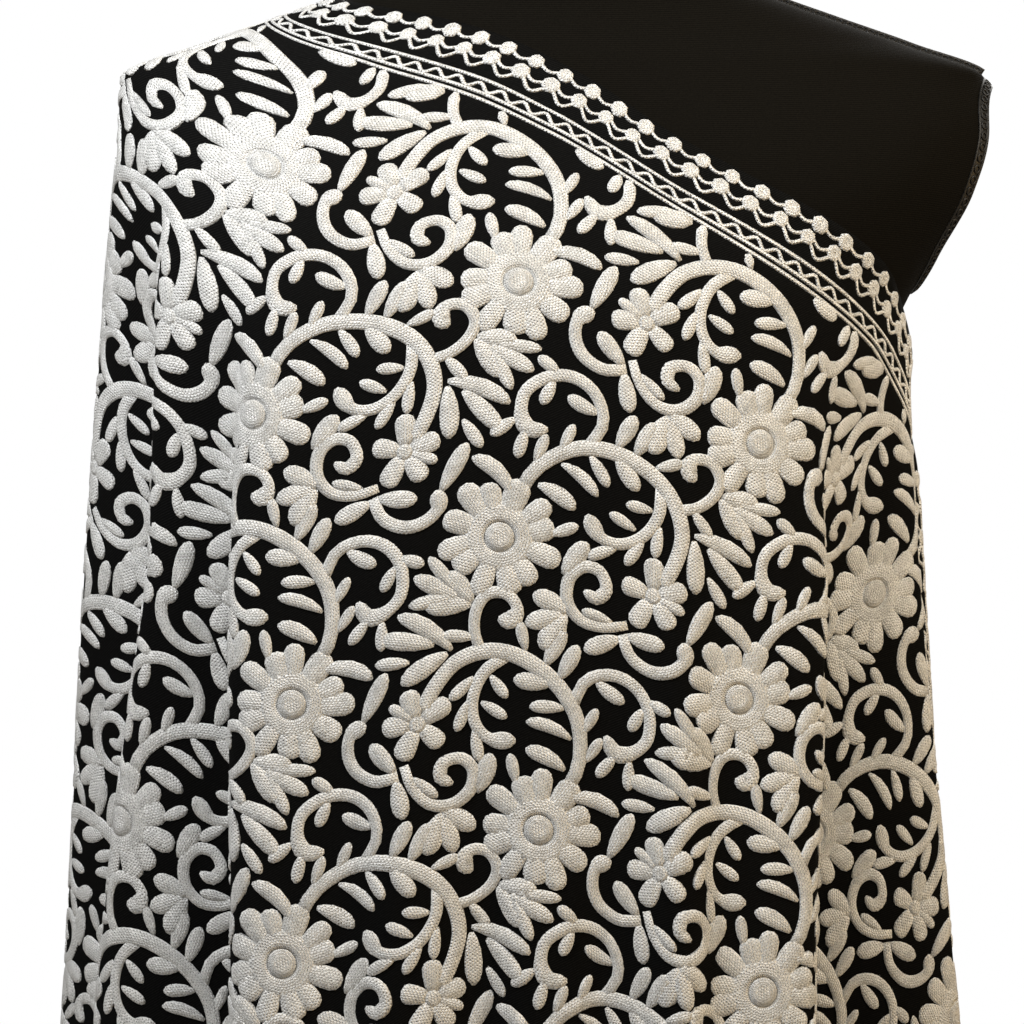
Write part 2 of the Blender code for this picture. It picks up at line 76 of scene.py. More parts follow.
hangRings = (  # height, reach to the left and right, in front and behind, and how square the section is
    (0.300, 0.285, 0.232, 0.168, 0.168, 2.5),
    (0.600, 0.270, 0.220, 0.158, 0.160, 2.5),
    (0.860, 0.246, 0.200, 0.148, 0.146, 2.5),
    (0.986, 0.236, 0.184, 0.143, 0.134, 2.5),
    (1.200, 0.223, 0.170, 0.138, 0.112, 2.5),
    (1.310, 0.215, 0.164, 0.130, 0.106, 2.6),
    (1.400, 0.206, 0.160, 0.096, 0.094, 2.7),
    (1.440, 0.150, 0.120, 0.050, 0.050, 2.3),
    (1.480, 0.060, 0.060, 0.030, 0.030, 2.0),
)

edgeRows = (  # the top edge from the crest of the shoulder: turn in front, turn behind and height
    (-90, -90, 1.4690), (-73, -107, 1.4630), (-56, -124, 1.4560), (-20, -160, 1.4405),
    (9, -189, 1.4180), (27, -207, 1.3925), (42, -222, 1.3690), (54, -234, 1.3475),
    (62, -242, 1.3325), (68, -247, 1.3190), (75, -253, 1.2990), (82, -256, 1.2620), (89, -257, 1.2040),
    (93, -257, 1.1000), (96, -257, 0.9860), (97, -257, 0.8600), (97, -257, 0.7200),
    (97, -257, 0.5000),
)

# Each fold: the height where it starts, the turn of its line at three heights, half widths before and
# after, how far it stands out or in at those heights, and the degrees that it leans
foldNames = (
    "top", "turnMid", "turnLow", "turnHem", "before", "after", "outMid", "outLow", "outHem", "lean",
)
frontFolds = (
    (1.400, -73, -78, -79, 14, 10, -0.036, -0.034, -0.044, 0),
    (1.360, -57, -57, -57, 10, 8, -0.019, -0.032, -0.038, 3),
    (1.380, -46, -43, -42, 8, 10, 0.009, 0.012, 0.013, -3),
    (1.240, -27, -27, -27, 8, 9, 0.001, 0.007, 0.014, 0),
    (1.240, -14, -14, -13, 8, 8, 0.000, -0.008, -0.022, 0),
    (1.240, 6, 7, 8, 8, 8, 0.000, -0.006, -0.018, 0),
    (1.260, 20, 19, 18, 7, 7, 0.002, 0.009, 0.016, 0),
    (1.290, 41, 35, 34, 11, 7, 0.004, 0.010, 0.014, 3),
    (1.300, 55, 52, 51, 12, 14, -0.028, -0.046, -0.056, -2),
    (1.300, 66, 65, 64, 7, 6, 0.003, 0.010, 0.012, 2),
    (1.300, 77, 77, 77, 8, 8, -0.021, -0.042, -0.050, 0),
    (1.260, 94, 93, 93, 6, 7, -0.010, -0.032, -0.042, 0),
)
backFolds = (
    (1.390, -103, -101, -100, 9, 9, -0.030, -0.042, -0.062, 0),
    (1.370, -112, -111, -110, 7, 7, 0.005, 0.010, 0.012, 0),
    (1.340, -122, -121, -120, 9, 8, -0.022, -0.044, -0.060, 0),
    (1.320, -141, -140, -139, 9, 9, -0.010, -0.034, -0.052, 0),
    (1.270, -158, -157, -156, 9, 9, 0.002, 0.006, 0.012, 0),
    (1.260, -175, -174, -173, 9, 9, 0.000, -0.010, -0.024, 0),
    (1.260, -197, -196, -196, 9, 9, 0.002, 0.005, 0.012, 0),
    (1.280, -216, -215, -214, 9, 9, -0.006, -0.018, -0.028, 0),
    (1.300, -235, -236, -237, 8, 8, -0.014, -0.038, -0.046, 0),
    (1.290, -250, -250, -250, 7, 7, -0.010, -0.034, -0.044, 0),
)
slackZones = ((-300, -228), (-142, -52), (46, 130))  # turns between which cloth may gather, in degrees
edgeSlopes = (  # place along the top edge, and how steeply it runs down there, in degrees
    (0.00, 0), (0.03, 15), (0.07, 24), (0.12, 28), (0.22, 31), (0.31, 33),
    (0.36, 45), (0.41, 58), (0.50, 64), (0.70, 67), (1.00, 68),
)


def smooth(x, xs, ys):  # a curve through the points that never overshoots them
    x = np.clip(np.asarray(x, float), xs[0], xs[-1])
    step = np.diff(xs)
    slope = np.diff(ys) / step
    tangent = np.zeros(len(xs))
    before, after = slope[:-1], slope[1:]
    same = before * after > 0
    heavy, light = step[:-1] + 2 * step[1:], 2 * step[:-1] + step[1:]
    middle = np.zeros(len(before))
    middle[same] = (heavy + light)[same] / (light[same] / before[same] + heavy[same] / after[same])
    tangent[1:-1] = middle
    tangent[0], tangent[-1] = slope[0], slope[-1]
    i = np.clip(np.searchsorted(xs, x, side="right") - 1, 0, len(xs) - 2)
    t = (x - xs[i]) / step[i]
    return (
        (1 + 2 * t) * (1 - t) ** 2 * ys[i]
        + t * (1 - t) ** 2 * step[i] * tangent[i]
        + t ** 2 * (3 - 2 * t) * ys[i + 1]
        + t ** 2 * (t - 1) * step[i] * tangent[i + 1]
    )


def ringRadius(turn, right, left, front, back, square):
    across, along = np.sin(turn), np.cos(turn)
    side = np.where(across > 0, right, left)
    depth = np.where(along > 0, front, back)
    return (np.abs(across / side) ** square + np.abs(along / depth) ** square) ** (-1 / square)


def ringValues(rings, height):  # each measure of the rings, at a height
    heights, *measures = np.array(rings, float).T
    return [smooth(height, heights, measure) for measure in measures]


def formRadius(turn, height):
    side, front, back, square = ringValues(formRings, height)
    return ringRadius(turn, side, side, front, back, square)


def hangRadius(turn, height):
    left, right, front, back, square = ringValues(hangRings, height)
    return ringRadius(turn, right, left, front, back, square)


def foldShape(turn, height):
    out = np.zeros(np.broadcast(turn, height).shape)
    lean = np.zeros(out.shape)
    degrees = np.degrees(turn)
    for row in frontFolds + backFolds:
        fold = dict(zip(foldNames, row))
        heights = np.array([drape["hem"], drape["low"], drape["middle"], fold["top"]])
        crests = np.array([fold["turnHem"], fold["turnLow"], fold["turnMid"]], float)
        depths = np.array([fold["outHem"], fold["outLow"], fold["outMid"], 0.0])
        depth = smooth(height, heights, depths)
        away = degrees - smooth(height, heights[:3], crests)
        away = np.where(away < 0, away / fold["before"], away / fold["after"])
        bump = np.where(np.abs(away) < 1, np.cos(np.clip(away, -1, 1) * math.pi / 2) ** 2, 0)
        out = out + depth * bump
        lean = lean + math.radians(fold["lean"]) * bump * np.clip(depth / fold["outLow"], 0, 1.2)
    return out, lean


def clothSurface(turn, height):  # a point of the draped cloth's middle
    out, lean = foldShape(turn, height)
    hanging = hangRadius(turn, height) + out
    rise = np.clip((height - drape["shoulderStart"]) / drape["shoulderBlend"], 0, 1)
    resting = formRadius(turn, height) + drape["restGap"] + (drape["shoulderGap"] - drape["restGap"]) * rise
    soft = drape["softLimit"]
    radius = 0.5 * (hanging + resting + np.sqrt((hanging - resting) ** 2 + soft ** 2))
    radius = radius - drape["softShare"] * soft
    radius = np.maximum(radius, resting)
    turn = turn + lean
    return np.stack([radius * np.sin(turn), -radius * np.cos(turn), height + 0 * radius], axis=-1)


def edgeCurve():  # the top edge: place along it, turn and height, with place 0 at the crest
    rows = np.arange(len(edgeRows))
    steps = np.linspace(0, len(edgeRows) - 1, drape["edgeSamples"])
    front, back, height = (smooth(steps, rows, column) for column in np.array(edgeRows, float).T)
    turn = np.radians(np.concatenate([back[:0:-1], front]))
    height = np.concatenate([height[:0:-1], height])
    points = clothSurface(turn, height)
    place = np.concatenate([[0], np.cumsum(np.linalg.norm(np.diff(points, axis=0), axis=1))])
    return place - place[len(place) // 2], turn, height


def blurred(values, places, width):
    step = places[1] - places[0]
    reach = int(3 * width / step)
    weights = np.exp(-0.5 * (np.arange(-reach, reach + 1) * step / width) ** 2)
    padded = np.concatenate([np.full(reach, values[0]), values, np.full(reach, values[-1])])
    return np.convolve(padded, weights / weights.sum(), "valid")


def slackWeight(turn):  # 1 where the cloth may gather, 0 where it runs flat
    degrees = np.degrees(turn)
    weight = 0 * degrees
    for start, end in slackZones:
        rise = np.clip((degrees - start) / drape["slackBlur"] + 0.5, 0, 1)
        fall = np.clip((end - degrees) / drape["slackBlur"] + 0.5, 0, 1)
        weight = weight + np.minimum(rise, fall)
    return weight


def crossing(places, edgeHeight, i, level):
    i = int(np.clip(i, 0, len(places) - 2))
    rise = edgeHeight[i + 1] - edgeHeight[i]
    share = np.clip((level - edgeHeight[i]) / rise, 0, 1) if rise else 0
    return places[i] + share * (places[i + 1] - places[i])


def spreadCloth(flat, along, roundIt, section, places, edgeTurn):
    stops, held = [0.0, roundIt[-1]], [0.0, flat[-1]]
    for centre in (-math.pi, 0.0):
        if section[0] < centre < section[-1]:
            stops.insert(-1, np.interp(centre, section, roundIt))
            held.insert(-1, np.interp(np.interp(centre, edgeTurn, places), along, flat))
    weight = slackWeight(section)
    taken = np.concatenate([[0], np.cumsum(0.5 * (weight[1:] + weight[:-1]) * np.diff(roundIt))])
    cloth = np.empty(len(roundIt))
    for low, high, flatLow, flatHigh in zip(stops, stops[1:], held, held[1:]):
        inside = (roundIt >= low - 1e-9) & (roundIt <= high + 1e-9)
        room = high - low
        spare = flatHigh - flatLow - room
        gather = np.interp(high, roundIt, taken) - np.interp(low, roundIt, taken)
        even = drape["evenShare"] * room
        share = taken - np.interp(low, roundIt, taken) + even * (roundIt - low) / room
        cloth[inside] = flatLow + (roundIt[inside] - low) + spare * share[inside] / (gather + even)
    return np.interp(flat, np.maximum.accumulate(cloth), roundIt)


def layOut():  # for each place along the top edge and each distance fallen, its turn and height
    place, turn, height = edgeCurve()
    places = np.linspace(-cut["length"] / 2, cut["length"] / 2, drape["stations"])
    edgeTurn, edgeHeight = np.interp(places, place, turn), np.interp(places, place, height)
    slopePlaces, slopes = np.array(edgeSlopes, float).T
    bias = np.radians(smooth(np.abs(places), slopePlaces, slopes)) * np.sign(places)
    bias = blurred(bias, places, drape["biasBlur"])
    turning = np.gradient(bias, places)
    levels = np.arange(edgeHeight.max() - 1e-4, drape["lowest"], -drape["levelStep"])
    fallen = np.full((len(levels), len(places)), np.nan)
    turns = fallen.copy()
    last = clothSurface(edgeTurn, edgeHeight)
    run = np.zeros(len(places))
    for k, level in enumerate(levels):
        hung = edgeHeight > level
        first, end = np.argmax(hung), len(places) - np.argmax(hung[::-1])
        inside = np.arange(first, end)
        low = crossing(places, edgeHeight, first - 1, level)
        high = crossing(places, edgeHeight, end - 1, level)
        along = np.concatenate([[low], places[inside], [high]])
        width = np.clip(np.cos(bias[inside]) + run[inside] * turning[inside], drape["leastWidth"], None)
        width = np.concatenate([[width[0]], width, [width[-1]]])
        flat = np.concatenate([[0], np.cumsum(0.5 * (width[1:] + width[:-1]) * np.diff(along))])
        section = np.linspace(*np.interp((low, high), places, edgeTurn), drape["sectionSamples"])
        points = clothSurface(section, level)
        roundIt = np.concatenate([[0], np.cumsum(np.linalg.norm(np.diff(points, axis=0), axis=1))])
        at = spreadCloth(flat, along, roundIt, section, places, edgeTurn)
        turns[k, inside] = np.interp(at[1:-1], roundIt, section)
        here = clothSurface(turns[k, inside], level)
        run[inside] += np.linalg.norm(here - last[inside], axis=1)
        last[inside] = here
        fallen[k, inside] = run[inside]
    falls = np.arange(0, drape["longestFall"], drape["fallStep"])
    turnOf, heightOf = np.empty((2, len(falls), len(places)))
    for i in range(len(places)):
        kept = np.isfinite(fallen[:, i])
        steps = np.concatenate([[0], fallen[kept, i]])
        turnOf[:, i] = np.interp(falls, steps, np.concatenate([[edgeTurn[i]], turns[kept, i]]))
        heightOf[:, i] = np.interp(falls, steps, np.concatenate([[edgeHeight[i]], levels[kept]]))
    downs = np.arange(0, cut["width"] + drape["fallStep"], drape["fallStep"])
    placeOf = np.array([np.interp(places, places + down * np.tan(bias), places) for down in downs])
    return {"places": places, "bias": bias, "turnOf": turnOf, "heightOf": heightOf, "placeOf": placeOf}


def betweenCells(table, row, col):
    row = np.clip(row, 0, table.shape[0] - 1.001)
    col = np.clip(col, 0, table.shape[1] - 1.001)
    i, j = row.astype(int), col.astype(int)
    a, b = row - i, col - j
    return (
        table[i, j] * (1 - a) * (1 - b) + table[i + 1, j] * a * (1 - b)
        + table[i, j + 1] * (1 - a) * b + table[i + 1, j + 1] * a * b
    )


def onFallLine(laid, place, fall):  # turn and height at a place on the top edge and a distance down from it
    step = laid["places"][1] - laid["places"][0]
    row, col = fall / drape["fallStep"], (place - laid["places"][0]) / step
    return betweenCells(laid["turnOf"], row, col), betweenCells(laid["heightOf"], row, col)


def onCloth(laid, u, v):  # turn and height of a point of the flat cloth: u along it, v down from the top edge
    step = laid["places"][1] - laid["places"][0]
    place = betweenCells(laid["placeOf"], v / drape["fallStep"], (u - laid["places"][0]) / step)
    fall = v / np.cos(np.interp(place, laid["places"], laid["bias"]))
    return onFallLine(laid, place, fall)


def liftedPoints(turn, height, lift):  # points of the surface, moved out along its normal
    step = 2e-4  # small enough to give the surface's slope
    points = clothSurface(turn, height)
    acrossIt = clothSurface(turn + step, height) - clothSurface(turn - step, height)
    upIt = clothSurface(turn, height + step) - clothSurface(turn, height - step)
    normal = np.cross(acrossIt, upIt)
    normal /= np.linalg.norm(normal, axis=-1)[..., None]
    return points + normal * np.asarray(lift)[..., None]


def pieceFrom(name, points, faces, uvs, material):  # faces and their corners' UVs, as lists of arrays
    mesh = bpy.data.meshes.new(name)
    sizes = np.concatenate([np.full(len(group), group.shape[1]) for group in faces])
    corners = np.concatenate([group.reshape(-1) for group in faces])
    mesh.vertices.add(len(points))
    mesh.vertices.foreach_set("co", points.astype(np.float32).reshape(-1))
    mesh.loops.add(len(corners))
    mesh.loops.foreach_set("vertex_index", corners.astype(np.int32))
    mesh.polygons.add(len(sizes))
    starts = np.concatenate([[0], np.cumsum(sizes)[:-1]])
    mesh.polygons.foreach_set("loop_start", starts.astype(np.int32))
    mesh.update(calc_edges=True)
    flat = np.concatenate([group.reshape(-1, 2) for group in uvs])
    mesh.uv_layers.new(name="flatCloth").data.foreach_set("uv", flat.astype(np.float32).reshape(-1))
    mesh.shade_smooth()
    mesh.materials.append(material)
    piece = bpy.data.objects.new(name, mesh)
    bpy.context.scene.collection.objects.link(piece)
    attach(piece, "root")
    return piece


class NodeDesk:  # adds nodes to a material or a group, and joins what it is given
    def __init__(self, tree):
        self.tree = tree

    def add(self, kind, given=(), **settings):
        node = self.tree.nodes.new(kind)
        for key, value in settings.items():
            setattr(node, key, value)
        for socket, value in dict(given).items():
            self.feed(node.inputs[socket], value)
        return node

    def feed(self, socket, value):
        if isinstance(value, bpy.types.NodeSocket):
            self.tree.links.new(value, socket)
        elif value is not None:
            socket.default_value = value

    def sum(self, operation, first, second=None, third=None):
        node = self.add("ShaderNodeMath", operation=operation)
        for k, value in enumerate((first, second, third)):
            self.feed(node.inputs[k], value)
        return node.outputs[0]

    def noise(self, vector, scale, detail, **more):
        given = {"Vector": vector, "Scale": scale, "Detail": detail, **more}
        return self.add("ShaderNodeTexNoise", given).outputs["Fac"]

    def ramp(self, value, stops):  # stops: place and a grey or a colour
        node = self.add("ShaderNodeValToRGB", {"Fac": value})
        points = node.color_ramp.elements
        while len(points) < len(stops):
            points.new(0.5)
        for point, (at, colour) in zip(points, stops):
            point.position = at
            point.color = (colour, colour, colour, 1) if isinstance(colour, float) else (*colour, 1)
        return node.outputs["Color"]

    def mix(self, share, first, second, blend="MIX"):
        node = self.add("ShaderNodeMix", data_type="RGBA", blend_type=blend)
        for socket, value in zip((node.inputs[0], node.inputs[6], node.inputs[7]), (share, first, second)):
            self.feed(socket, value)
        return node.outputs[2]


def newMaterial(name, colour, roughness, **more):  # more: plain values of the shader's other sockets
    material = bpy.data.materials.new(name)
    material.use_nodes = True
    sockets = material.node_tree.nodes["Principled BSDF"].inputs
    given = {"Base Color": (*colour, 1), "Roughness": roughness}
    given |= {label.replace("_", " "): value for label, value in more.items()}
    for label, value in given.items():
        sockets[label].default_value = value
    return material, NodeDesk(material.node_tree), sockets


def finish(desk, sockets, colour, roughness, height, strength, distance):
    desk.feed(sockets["Base Color"], colour)
    desk.feed(sockets["Roughness"], roughness)
    bump = desk.add("ShaderNodeBump", {"Height": height, "Strength": strength, "Distance": distance})
    desk.feed(sockets["Normal"], bump.outputs[0])


def objectPlace(desk):
    return desk.add("ShaderNodeTexCoord").outputs["Object"]


def clothPlace(desk):
    return desk.add("ShaderNodeUVMap", uv_map="flatCloth").outputs["UV"]


def newGroup(name, inputs, outputs):  # a shader node group, its desk, its inputs and its output node
    group = bpy.data.node_groups.new(name, "ShaderNodeTree")
    for label, kind, value in inputs:
        socket = group.interface.new_socket(label, in_out="INPUT", socket_type=kind)
        if value is not None:
            socket.default_value = value
    for label, kind in outputs:
        group.interface.new_socket(label, in_out="OUTPUT", socket_type=kind)
    desk = NodeDesk(group)
    entry = desk.add("NodeGroupInput")
    return group, desk, entry.outputs, desk.add("NodeGroupOutput").inputs


def chainGroup():  # rows of chain stitch along U, each loop a plump link with a small hole at its end
    group, desk, given, out = newGroup(
        "chainStitch",
        (("Vector", "NodeSocketVector", None), ("Row", "NodeSocketFloat", 0.00112),
         ("Link", "NodeSocketFloat", 0.00150)),
        (("Height", "NodeSocketFloat"), ("Gap", "NodeSocketFloat"), ("Tone", "NodeSocketFloat")),
    )
    off = desk.sum("MULTIPLY_ADD", desk.noise(given["Vector"], 420.0, 2.0), 0.0016, -0.0008)
    parts = desk.add("ShaderNodeSeparateXYZ", {"Vector": given["Vector"]})
    across = desk.sum("DIVIDE", desk.sum("ADD", parts.outputs["Y"], off), given["Row"])
    row = desk.sum("FLOOR", across)
    inRow = desk.sum("SUBTRACT", desk.sum("SUBTRACT", across, row), 0.5)
    along = desk.sum("DIVIDE", desk.sum("ADD", parts.outputs["X"], off), given["Link"])
    along = desk.sum("MULTIPLY_ADD", row, 0.5, along)
    link = desk.sum("FLOOR", along)
    inLink = desk.sum("SUBTRACT", desk.sum("SUBTRACT", along, link), 0.5)
    sideways = desk.sum("POWER", desk.sum("ABSOLUTE", desk.sum("MULTIPLY", inRow, 2.0)), 2.2)
    lengthways = desk.sum("POWER", desk.sum("ABSOLUTE", desk.sum("MULTIPLY", inLink, 2.0)), 3.0)
    plump = desk.sum("SUBTRACT", 1.0, desk.sum("MAXIMUM", sideways, lengthways))
    hole = desk.add("ShaderNodeCombineXYZ", {"X": inLink, "Y": desk.sum("MULTIPLY", inRow, 1.5)})
    holeAt = {0: hole.outputs[0], 1: (0.34, 0.0, 0.0)}
    centred = desk.add("ShaderNodeVectorMath", holeAt, operation="DISTANCE")
    speck = desk.add("ShaderNodeMapRange", {
        "Value": centred.outputs["Value"], "From Min": 0.13, "From Max": 0.31, "To Min": 1.0, "To Max": 0.0,
    })
    height = desk.sum("MULTIPLY_ADD", speck.outputs[0], -0.9, plump)
    named = desk.add("ShaderNodeCombineXYZ", {"X": link, "Y": row})
    tone = desk.add("ShaderNodeTexWhiteNoise", {"Vector": named.outputs[0]})
    seam = desk.add("ShaderNodeMapRange", {
        "Value": sideways, "From Min": 0.72, "From Max": 1.0, "To Min": 0.0, "To Max": 0.42,
    })
    desk.feed(out["Height"], height)
    desk.feed(out["Gap"], desk.sum("MAXIMUM", speck.outputs[0], seam.outputs[0]))
    desk.feed(out["Tone"], tone.outputs["Value"])
    return group


def chainThread():  # silky ivory thread
    material, desk, sockets = newMaterial(
        "ivoryChainStitch", (0.7, 0.68, 0.64), 0.42,
        Specular_IOR_Level=0.85, Sheen_Weight=0.12, Sheen_Roughness=0.4,
    )
    laidUv = clothPlace(desk)
    chain = desk.add("ShaderNodeGroup", {"Vector": laidUv}, node_tree=chainGroup()).outputs
    broad = desk.sum("MULTIPLY", desk.noise(objectPlace(desk), 42.0, 2.0), 0.20)
    thread = desk.ramp(chain["Tone"], ((0.0, (0.745, 0.745, 0.735)), (1.0, (0.94, 0.938, 0.925))))
    thread = desk.mix(broad, thread, (0.62, 0.58, 0.50, 1))
    # painted sheen: soft patches of darker thread stand in for silk reflecting the lamps more or less by
    # stitch direction
    paintedSheen = desk.ramp(desk.noise(laidUv, 130.0, 2.0), ((0.32, 0.84), (0.62, 1.0)))
    thread = desk.mix(1.0, thread, paintedSheen, "MULTIPLY")
    colour = desk.mix(desk.sum("MULTIPLY", chain["Gap"], 0.94), thread, (0.025, 0.023, 0.021, 1))
    rough = desk.sum("MULTIPLY_ADD", chain["Tone"], 0.20, 0.27)
    finish(desk, sockets, colour, rough, chain["Height"], 0.8, 0.0004)
    return material


def twillCloth():  # fine black twill with slanting wales
    material, desk, sockets = newMaterial("blackTwill", (0.003, 0.003, 0.003), 0.9, Specular_IOR_Level=0.05)
    laidUv = clothPlace(desk)
    turned = desk.add("ShaderNodeMapping", {"Vector": laidUv, "Rotation": (0, 0, math.radians(-34))})
    wales = desk.add("ShaderNodeTexWave", {
        "Vector": turned.outputs[0], "Scale": 330.0, "Distortion": 1.2, "Detail": 2.0, "Detail Scale": 3.0,
    })
    weave = desk.sum("MULTIPLY", wales.outputs["Fac"], desk.noise(laidUv, 900.0, 2.0))
    colour = desk.ramp(weave, ((0.0, (0.0008, 0.0008, 0.0008)), (0.65, (0.0072, 0.0071, 0.0068))))
    finish(desk, sockets, colour, desk.sum("MULTIPLY_ADD", weave, -0.15, 0.9), weave, 0.5, 0.0002)
    return material


def makeCloth(laid, material):
    places = laid["places"]
    row = int(round(drape["sharedFall"] / drape["fallStep"]))
    hung = clothSurface(laid["turnOf"][row], laid["heightOf"][row])
    apart = np.linalg.norm(np.diff(hung[:, :2], axis=0), axis=1)
    weight = drape["flatShare"] + slackWeight(laid["turnOf"][row])
    reach = np.concatenate([[0], np.cumsum(apart * 0.5 * (weight[1:] + weight[:-1]))])
    at = np.interp(np.linspace(0, reach[-1], cut["columns"] + 1), reach, places)
    at[0], at[-1] = places[0] + 0.0005, places[-1] - 0.0005
    lean = np.interp(at, places, laid["bias"])
    toEnd = (cut["length"] / 2 - np.abs(at)) / np.maximum(np.abs(np.sin(lean)), 1e-6)
    longest = np.minimum(cut["width"] / np.cos(lean), toEnd)
    shares = np.linspace(0, 1, cut["rows"] + 1) ** cut["rowGrowth"]
    place, fall = np.broadcast_arrays(at[:, None], longest[:, None] * shares)
    turn, height = onFallLine(laid, place, fall)
    half = np.full(turn.shape, cut["thickness"] / 2)
    layers = [liftedPoints(turn, height, side * half) for side in (1, -1)]
    flatUv = np.stack([place + fall * np.sin(lean)[:, None], fall * np.cos(lean)[:, None]], axis=-1)
    count, rows = turn.shape
    grid = np.arange(count * rows).reshape(count, rows)
    outer = np.stack([grid[:-1, :-1], grid[1:, :-1], grid[1:, 1:], grid[:-1, 1:]], axis=-1).reshape(-1, 4)
    inner = outer[:, ::-1] + count * rows
    rim = np.concatenate([grid[:, 0], grid[-1, 1:], grid[-2::-1, -1], grid[0, -2:0:-1]])
    after = np.roll(rim, -1)
    edge = np.stack([after, rim, rim + count * rows, after + count * rows], axis=-1)
    points = np.concatenate([layer.reshape(-1, 3) for layer in layers])
    flat = np.concatenate([flatUv.reshape(-1, 2)] * 2)
    faces = [outer, inner, edge]
    cloth = pieceFrom("shawlCloth", points, faces, [flat[group] for group in faces], material)
    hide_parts("shawl_back", "shawl_shoulder", "shawl_front")
    return cloth


# The embroidery, drawn flat in millimetres and then laid on the cloth

stitch = {
    "rise": 0.00066, "sunk": 0.0004, "across": (-1, -0.76, 0, 0.76, 1), "round": (0, 1, 1.15, 1, 0),
    "fullHalf": 1.6, "leastRise": 0.55, "endRise": 0.4,
}
vineWork = {
    "along": 122.5, "down": 101, "firstRow": 105, "rows": 7, "evenStart": 71, "oddStart": 118,
    "fieldInset": 35.0, "pieces": 5, "smallEye": 8.0, "coreSides": 20,
}
leafForm = (  # share of its length and of its half width, from the stalk
    (0, 0.26), (0.12, 0.55), (0.32, 0.86), (0.55, 1.0), (0.76, 0.93), (0.91, 0.66), (1, 0.20),
)
petalForm = ((0, 0.50), (0.28, 0.82), (0.56, 0.99), (0.78, 1.0), (0.92, 0.78), (1, 0.36))
coreForm = (  # share of the radius and of the stitches' rise, from the underside's middle to the eye's
    (0.04, 0), (0.36, 0), (0.70, 0), (1, 0), (0.96, 0.90), (0.80, 1.25), (0.60, 1.40), (0.46, 1.40),
    (0.436, 0.10), (0.422, 0.10), (0.40, 1.40), (0.2, 1.45),
    (0, 1.45),
)
dotForm = ((1, 0), (0.84, 1.10), (0.42, 1.20), (0, 0.10))
eyeForm = ((1, 0), (0.90, 0.95), (0.55, 1.30), (0, 1.20))
vines = (  # points, widths at the start, middle and end, stations, width of the head at its end
    ([(2, -20), (1, -34), (-7, -48), (-18, -56), (-31, -60), (-45, -60), (-57, -55), (-66, -45), (-69, -32),
      (-69, -20)], 6.5, 8.0, 7.0, 26, 0),
    ([(-48, -58), (-53, -47), (-52, -35), (-46, -26), (-37, -23), (-27, -28)], 6.0, 5.6, 5.4, 16, 8.5),
    ([(-13, -52), (-14, -66), (-6, -75), (5, -77), (15, -72), (21, -61), (18, -51), (12, -47), (5, -51)],
     5.5, 6.2, 5.6, 22, 8.5),
    ([(-57, -53), (-65, -60), (-69, -69), (-68, -77), (-61, -81), (-54, -78), (-54, -72), (-59, -70)],
     5.0, 5.8, 5.5, 19, 8.8),
    ([(-65, 8), (-73, 14), (-83, 14), (-90, 9), (-93, 1), (-89, -6)], 5.5, 6.4, 5.6, 16, 8.5),
    ([(-65, 3), (-57, 10), (-47, 13), (-38, 9), (-34, 0), (-37, -8), (-44, -10), (-50, -5), (-48, 1),
      (-42, 1)],
     4.5, 6.4, 5.2, 24, 6.8),
)
leaves = (  # stalk x and y, the way that it points, length, width, bend
    (4, -18, -24, 25, 8.0, 60), (-3, -28, 182, 19, 8.0, -34), (-7, -41, 176, 21, 6.4, -40),
    (-16, -51, 153, 15, 6.4, -14), (-26, -57, 156, 16, 8.6, 0),
    (-50, -47, 24, 12, 5.8, 0), (-48, -35, 2, 13, 5.8, 0), (-56, -43, 108, 14, 6.0, 10),
    (-53, -33, 84, 14, 6.0, 0), (-45, -23, 50, 14, 6.0, 8),
    (-4, -46, 272, 13, 5.6, 0), (3, -36, 276, 13, 5.6, 0), (-24, -61, 270, 17, 8.0, 0),
    (-32, -63, 268, 18, 8.2, 0), (-42, -64, 228, 13, 5.8, 8),
    (13, -75, -8, 11, 6.2, 0), (13, -71, 92, 12, 6.2, 0), (-10, -69, 6, 15, 7.2, -20),
    (19, -48, 64, 13, 6.2, 0), (13, -46, 102, 13, 6.2, 0),
    (-72, -71, 204, 17, 9.4, 0), (-80, -72, 204, 20, 6.4, 0), (-77, -70, 180, 23, 8.4, 0),
    (-80, -70, 143, 20, 6.8, 0), (-72, -70, 152, 20, 10.0, 0), (-64, -58, 158, 14, 6.2, 0),
    (-70, -49, 192, 29, 8.4, -34), (-78, -48, 162, 24, 9.0, 0), (-71, -47, 122, 23, 9.4, -12),
    (-84, -37, 152, 15, 6.4, 0),
    (-90.5, -6, 269, 23, 8.4, 0), (-67, 7, 200, 17, 8.6, 12), (-59, 6, 12, 14, 5.4, 0),
    (-65, 10, 52, 17, 8.6, 0), (-31, 0, 264, 18, 9.6, -16), (-41, 13, 2, 17, 9.8, 10),
    (-40, 14, 46, 18, 9.4, 0), (-40, 14, 86, 19, 11.0, 0), (-18, -12, 230, 13, 6.0, 0),
)
flowers = (  # place, radius, core, where its petals start, the way that each petal points and its width
    (0, 0, 25.5, 0.60, 0.30,
     [(8 + 30 * k + 4 * math.sin(2.1 * k), 11.2 + math.sin(3.7 * k)) for k in range(12)]),
    (-68, -15, 15.5, 0.24, 0.10, ((225, 9.8), (298, 9.8), (14, 9.4), (88, 10.0), (150, 9.8), (188, 5.4))),
)


